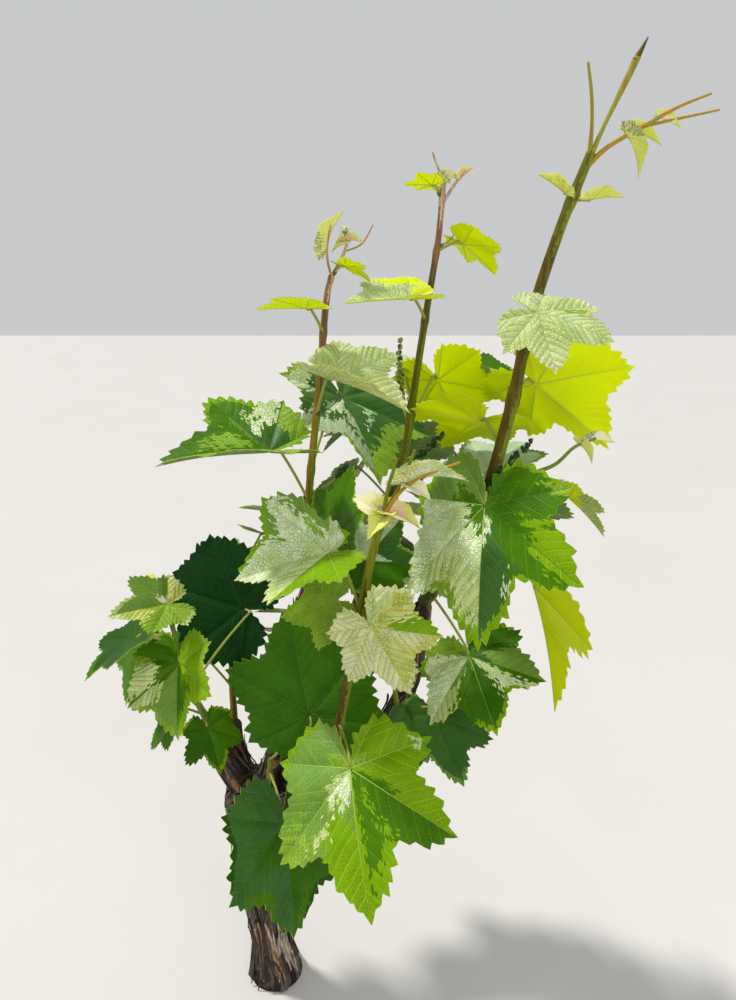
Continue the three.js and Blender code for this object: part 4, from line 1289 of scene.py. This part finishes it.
def add_ribbon(heap, blade, u, v, widths, side, paint):
    """A vein: a low closed ridge on one side of the blade."""
    line = np.stack([u, v], axis=1)
    tangent = unit(np.gradient(line, axis=0))
    cross = np.stack([tangent[:, 1], -tangent[:, 0]], axis=1) * widths[:, None]
    rows = []
    for offset, lift in VEIN_PROFILE:
        place = line + offset * cross
        points, normals = on_skin(blade, place[:, 0], place[:, 1], side)
        rows.append(points + normals * (lift * np.linspace(1.0, 0.6, len(u)))[:, None])
    faces = ribbon_faces(len(u))
    heap.add(np.stack(rows, axis=1).reshape(-1, 3), (faces if side < 0 else faces[:, ::-1], paint))


def add_veins(heap, blade, side, plus_ink, minus_ink):
    """The main veins from the hub to the lobes, in a paint for each half. The plus half has the midrib."""
    scale = max(blade.length / 100, SMALLEST_VEINS)
    for sign, ink, rear in ((1, plus_ink, blade.rear[0]), (-1, minus_ink, blade.rear[1])):
        mains = PRIMARY_VEINS if sign > 0 else PRIMARY_VEINS[1:]
        for main in mains:
            reach = VEIN_REACH * blade.reach(main) * (rear if main > 100 else 1)
            way = np.linspace(0.02 * blade.length, reach, VEIN_STATIONS)
            widths = np.linspace(*VEIN_WIDTHS, VEIN_STATIONS) * scale
            if main == PRIMARY_VEINS[-1]:
                widths = widths * HIND_VEIN
            angle = math.radians(main) * sign
            u = way * math.sin(angle) * blade.narrow
            add_ribbon(heap, blade, u, way * math.cos(angle), widths, side, heap.paint(ink))


def node_on(path, height):
    """Where a cane reaches a height."""
    low, high = 0.0, 1.0
    for _ in range(HEIGHT_HALVINGS):
        middle = (low + high) / 2
        if curve_points(path, middle)[0][2] < height:
            low = middle
        else:
            high = middle
    return curve_points(path, low)[0]


def add_leaf(leaves, stems, root, hub, leaf, paints, seed, patches=(), through=False, **shape):
    """A leaf with its veins, and its stalk from the cane to the hub."""
    hub = root + np.array(hub, float)
    blade = Blade(hub, *leaf, seed, **shape)
    length = blade.length
    add_blade(leaves, blade, *paints, patches, through)
    plus_ink, minus_ink, _, low_ink = (of_paint(MAIN_VEIN, paint) for paint in paints)
    add_veins(leaves, blade, 1, plus_ink, minus_ink)
    add_veins(leaves, blade, -1, low_ink, low_ink)
    seat = hub - STALK_SEAT * length * blade.midrib
    bend = (root + seat) / 2
    bend[2] += STALK_ARCH * np.linalg.norm(seat - root)
    t = np.linspace(0, 1, STALK_STATIONS)[:, None]
    line = (1 - t) ** 2 * root + 2 * t * (1 - t) * bend + t * t * seat
    line = np.vstack([line, hub - 0.03 * length * blade.midrib - 0.6 * blade.up])
    radius = min(STALK_RADIUS, 0.5 + 0.02 * length)
    radii = radius * np.interp(np.linspace(0, 1, STALK_STATIONS + 1), *STALK_PROFILE)
    add_tube(stems, line, radii, STALK_SIDES, stems.paint("stalk"))


# Canes, tendrils and buds

def add_cane(stems, shoot):
    """A cane, swollen at its nodes, with zones of colour up its length and painted light and shade along its
    sunny side.
    """
    path, zones = shoot["path"], shoot["zones"]
    rings = CANE_RINGS * (len(path) - 1)
    shares = np.linspace(0, 1, rings)
    centres = curve_points(path, shares)
    swelling = np.zeros(rings)
    for leaf in shoot.get("leaves", ()):
        swelling = np.maximum(swelling, np.exp(-((centres[:, 2] - leaf[0]) / NODE_REACH) ** 2))
    radii = along(shoot["radii"], shares) * (1 + NODE_SWELLING * swelling)
    angle = 2 * np.pi * np.arange(CANE_SIDES) / CANE_SIDES
    ribs = 1 + RIB_DEPTH * np.sin(6 * angle[None, :] + 8 * shares[:, None])
    rng = np.random.default_rng(len(path))
    blurred = shares[:, None]
    for blur, size in zip(ZONE_BLURS, (CANE_SIDES, (rings, CANE_SIDES))):
        blurred = blurred + rng.uniform(-blur, blur, size)
    first, second = carried_frames(centres)
    facing = np.cos(angle) * second[:, :1] + np.sin(angle) * first[:, :1]
    # The sunny side takes each zone's second paint: painted light and shade.
    sunny = (facing + rng.uniform(-SUNNY_BLUR, SUNNY_BLUR, (rings, 1)) < -0.1).astype(int)
    numbers = np.array([[stems.paint(name) for name in zone[1:]] for zone in zones])
    zone = np.searchsorted([end for end, _, _ in zones], np.clip(blurred, 0, 0.999))
    add_tube(stems, centres, radii[:, None] * ribs, CANE_SIDES, numbers[zone, sunny])


def add_node_buds(stems, shoot):
    """A small pointed bud in the angle of each leaf stalk."""
    radius = along(shoot["radii"], 0.5)
    t = np.linspace(0, 1, 8)
    for number, leaf in enumerate(shoot.get("leaves", ())):
        root = node_on(shoot["path"], leaf[0])
        out = unit(np.array([leaf[1][0], leaf[1][1], 0.0]))
        line = root + out * (radius * 0.7 + 2.6 * t[:, None]) + np.array([0, 0, 1]) * (1.5 + 5.0 * t[:, None])
        radii = NODE_BUD_RADIUS * np.sqrt(np.clip(np.sin(np.pi * (0.16 + 0.82 * t)), 0.02, 1))
        add_tube(stems, line, radii, 10, stems.paint("cane_umber" if number % 2 else "cane_olive"))


def add_thread(stems, path, radii, paint):
    """A tendril or a stretch of a cane's tip."""
    shares = np.linspace(0, 1, 8 * len(path))
    add_tube(stems, curve_points(path, shares), along(radii, shares), 9, stems.paint(paint))


def rounded_ball():
    """A ball of 80 faces, from a solid of twenty: two poles, and two rings of five corners."""
    points = [np.array([0.0, 0.0, 1.0])]
    height, girth = math.sqrt(0.2), math.sqrt(0.8)
    for sign, first_turn in ((1, 0), (-1, 36)):
        for turn in np.radians(first_turn + 72 * np.arange(5)):
            points.append(np.array([girth * math.cos(turn), girth * math.sin(turn), sign * height]))
    points.append(np.array([0.0, 0.0, -1.0]))
    high = [(1 + k, 1 + (k + 1) % 5) for k in range(5)]
    low = [(6 + k, 6 + (k + 1) % 5) for k in range(5)]
    coarse = [(0, a, b) for a, b in high]
    coarse += [(a, c, b) for (a, b), (c, _) in zip(high, low)]
    coarse += [(c, d, b) for (_, b), (c, d) in zip(high, low)]
    coarse += [(11, d, c) for c, d in low]
    middles, faces = {}, []

    def middle(a, b):
        key = (min(a, b), max(a, b))
        if key not in middles:
            points.append(unit(points[a] + points[b]))
            middles[key] = len(points) - 1
        return middles[key]

    for a, b, c in coarse:
        ab, bc, ca = middle(a, b), middle(b, c), middle(c, a)
        faces += [(a, ab, ca), (b, bc, ab), (c, ca, bc), (ab, bc, ca)]
    return np.array(points), np.array(faces)


BALL_POINTS, BALL_FACES = rounded_ball()


def add_cluster(buds, stems, cluster, seed):
    """A string of flower buds: tight groups of small round buds round a thin stalk."""
    path, (widest, last), start, paint = cluster
    rng = np.random.default_rng(seed)
    line = curve_points(path, np.linspace(0, 1, CLUSTER_STATIONS))
    add_tube(stems, line, np.linspace(1.0, 0.5, CLUSTER_STATIONS), STALK_SIDES, stems.paint("stalk"))
    for group in range(BUD_GROUPS):
        rest = (group + 0.5) / BUD_GROUPS
        size = along([0.7 * widest, widest, last, 0.5 * last], rest)
        lean = rng.uniform(0, 2 * np.pi)
        middle = curve_points(path, start + (1 - start) * rest)[0]
        middle = middle + 0.35 * size * np.array([math.cos(lean), math.sin(lean), 0.2])
        for _ in range(GROUP_BUDS):
            way = unit(rng.normal(size=3))
            spot = middle + way * size * rng.uniform(0.35, 0.8)
            ball = spot + BALL_POINTS * rng.uniform(*BUD_RADII) * np.array([1, 1, 1.15])
            buds.add(ball, (BALL_FACES, buds.paint(paint if rng.random() < 0.8 else "bud_brown")))


# The seeded rule for the hidden leaves

def make_draws(seed):
    state = seed
    while True:
        state = (state * 1664525 + 1013904223) % 4294967296
        yield state / 4294967296


def fill_leaf(rule, place, draws):
    """One leaf of the rule: by turns to the cane's two sides, and smaller towards its end."""
    low, high, count, rule_heading, stalk, (first_length, last_length) = rule

    def drawn(least, spread):
        return least + spread * next(draws)

    share = (place + 0.5) / count
    heading = rule_heading + (1 if place % 2 == 0 else -1) * drawn(*FILL_TURN)
    rise = math.radians(drawn(*FILL_RISE))
    reach = stalk * drawn(*FILL_REACH) * (1 - FILL_SHORTENING * share)
    turned = math.radians(heading)
    level = reach * math.cos(rise)
    hub = (level * math.cos(turned), level * math.sin(turned), reach * math.sin(rise))
    length = (first_length + (last_length - first_length) * share) * drawn(*FILL_LENGTH)
    blade_heading = heading + FILL_SWING * (next(draws) - 0.5)
    dip = drawn(*FILL_DIP)
    roll = FILL_ROLL * (next(draws) - 0.5)
    return low + (high - low) * share, hub, (length, blade_heading, dip, roll, FILL_FOLD)


def stands_in_frame(node, hub, leaf):
    """Whether the frame's node has this leaf: its hub and its lobes are on the node's faces."""
    length, heading, dip, roll, fold = leaf
    midrib, across, up = leaf_axes(heading, dip, roll)
    fold = math.radians(fold)
    spots = [hub]
    for main, reach in zip(PRIMARY_VEINS, LOBE_REACHES):
        for angle in (math.radians(main), -math.radians(main)):
            u, v = reach * length * math.sin(angle), reach * length * math.cos(angle)
            droop = BLADE_DROOP * v * v / length if v > 0 else 0
            rise = abs(u) * math.sin(fold) - droop
            spots.append(hub + across * u * math.cos(fold) + midrib * v + up * rise)
    for spot in spots:
        found, near, _, _ = node.closest_point_on_mesh(Vector(spot * MM), distance=4 * HIT_DISTANCE)
        if not found or (near - Vector(spot * MM)).length > HIT_DISTANCE:
            return False
    return True


def fill_leaves():
    """The rule's leaves for each shoot, in the source's own order of draws."""
    draws = make_draws(FILL_SEED)
    chosen = {}
    for shoot in SHOOTS:
        name, rule = shoot["name"], shoot.get("fill")
        chosen[name] = []
        for place in range(rule[2] if rule else 0):
            placed = False
            for _ in range(FILL_ATTEMPTS):
                height, hub, leaf = fill_leaf(rule, place, draws)
                root = node_on(shoot["path"], height)
                if not placed and stands_in_frame(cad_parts[name], root + np.array(hub), leaf):
                    chosen[name].append((root, hub, leaf))
                    placed = True
    return chosen


# Building

def build_wood():
    trunk = Heap("trunk_bark", ["trunk"], "old_wood")
    add_limb(trunk, TRUNK, sides=150, spacing=1.9, depth=2.2, tan_share=0.22, seed=11, level=True)
    add_strips(trunk, TRUNK, count=190, reach=75, tan_share=0.12, seed=12)
    pale = {"high": 0.3, "turns": (-80.0, -15.0), "dry": "bark_pale"}
    add_strips(trunk, TRUNK, count=16, reach=50, tan_share=0.9, seed=13, **pale)
    add_strips(trunk, TRUNK, count=14, reach=60, tan_share=0.0, seed=14, high=0.5, turns=(-150.0, -110.0))
    trunk.finish()
    for number, arm in enumerate(ARMS):
        heap = Heap(arm["name"] + "_bark", [arm["name"]], "old_wood")
        add_limb(heap, arm, sides=64, spacing=1.8, depth=1.0, tan_share=0.3, seed=ARM_SEEDS + number)
        add_strips(heap, arm, count=26, reach=42, tan_share=0.25, seed=ARM_STRIP_SEEDS + number)
        heap.finish()


def build_shoot(shoot, number, hidden):
    """A shoot's leaves, stems and buds. Each kind of leaf has its own range of seeds."""
    name, seed = shoot["name"], SHOOT_SEEDS * number
    leaves, stems, buds = (
        Heap(name + kind, [name], "foliage") for kind in ("_leaves", "_stems", "_buds")
    )
    add_cane(stems, shoot)
    add_node_buds(stems, shoot)
    for row, (height, hub, *rest) in enumerate(shoot.get("leaves", ())):
        options = rest.pop() if isinstance(rest[-1], dict) else {}
        root = node_on(shoot["path"], height)
        add_leaf(leaves, stems, root, hub, rest[:5], rest[5:9], seed + row, rest[9:], **options)
    for row, (root, hub, leaf) in enumerate(hidden):
        # Fill leaves in LIT_FILLS take LIT_LOOK, painted light shining through from behind.
        paints = LIT_LOOK if (name, row) in LIT_FILLS else FILL_LOOKS[(row + number) % len(FILL_LOOKS)]
        add_leaf(leaves, stems, root, hub, leaf, paints, seed + HIDDEN_SEEDS + row, hidden=True)
    for row, (hub, *leaf, paint) in enumerate(shoot.get("tufts", ())):
        blade = Blade(hub, *leaf, seed + TUFT_SEEDS + row, **TUFT_SHAPE)
        patches = [TUFT_PATCHES[row % len(TUFT_PATCHES)]]
        add_blade(leaves, blade, paint, paint, paint, paint, patches, through=True)
        add_veins(leaves, blade, 1, "vein_soft", "vein_soft")
    for thread in shoot.get("threads", ()):
        add_thread(stems, *thread)
    for row, cluster in enumerate(shoot.get("clusters", ())):
        add_cluster(buds, stems, cluster, seed + CLUSTER_SEEDS + row)
    for heap in (leaves, stems, buds):
        heap.finish()


# Setting

def add_floor():
    mesh = bpy.data.meshes.new("floor")
    corners = [(x * FLOOR_REACH, y * FLOOR_REACH, 0) for x, y in ((-1, -1), (1, -1), (1, 1), (-1, 1))]
    mesh.from_pydata(corners, [], [(0, 1, 2, 3)])
    mesh.materials.append(floor_paint())
    floor = add_object("floor", mesh)


def add_light(name, kind, place, **settings):
    """A light that shines from a place at the middle of the plant."""
    light = bpy.data.lights.new(name, kind)
    for setting, value in settings.items():
        setattr(light, setting, value)
    lamp = add_object(name, light)
    lamp.location = place
    lamp.rotation_euler = (Vector(PLANT_MIDDLE) - Vector(place)).to_track_quat("-Z", "Y").to_euler()


def add_lights():
    add_light("key", "SUN", (-1.0, 0.5, 2.4), energy=2.9, angle=math.radians(6), color=(1.0, 0.98, 0.93))
    add_light("fill", "AREA", (0.9, -2.2, 1.7), energy=16, shape="DISK", size=2.0, color=(1.0, 1.0, 0.98))
    world = bpy.data.worlds.new("studio")
    world.use_nodes = True
    background = world.node_tree.nodes["Background"]
    background.inputs["Color"].default_value = (0.97, 0.98, 1.0, 1.0)
    background.inputs["Strength"].default_value = 0.6
    bpy.context.scene.world = world


def add_camera():
    data = bpy.data.cameras.new("camera")
    data.lens = CAMERA_LENS
    data.sensor_width = SENSOR
    camera = add_object("camera", data)
    camera.location = CAMERA_PLACE
    camera.rotation_euler = (math.radians(CAMERA_PITCH), 0.0, 0.0)
    bpy.context.scene.camera = camera


add_camera()
add_lights()
add_floor()
build_wood()
hidden_leaves = fill_leaves()
for shoot_number, shoot in enumerate(SHOOTS):
    build_shoot(shoot, shoot_number, hidden_leaves[shoot["name"]])
bpy.context.scene.view_settings.view_transform = "Standard"
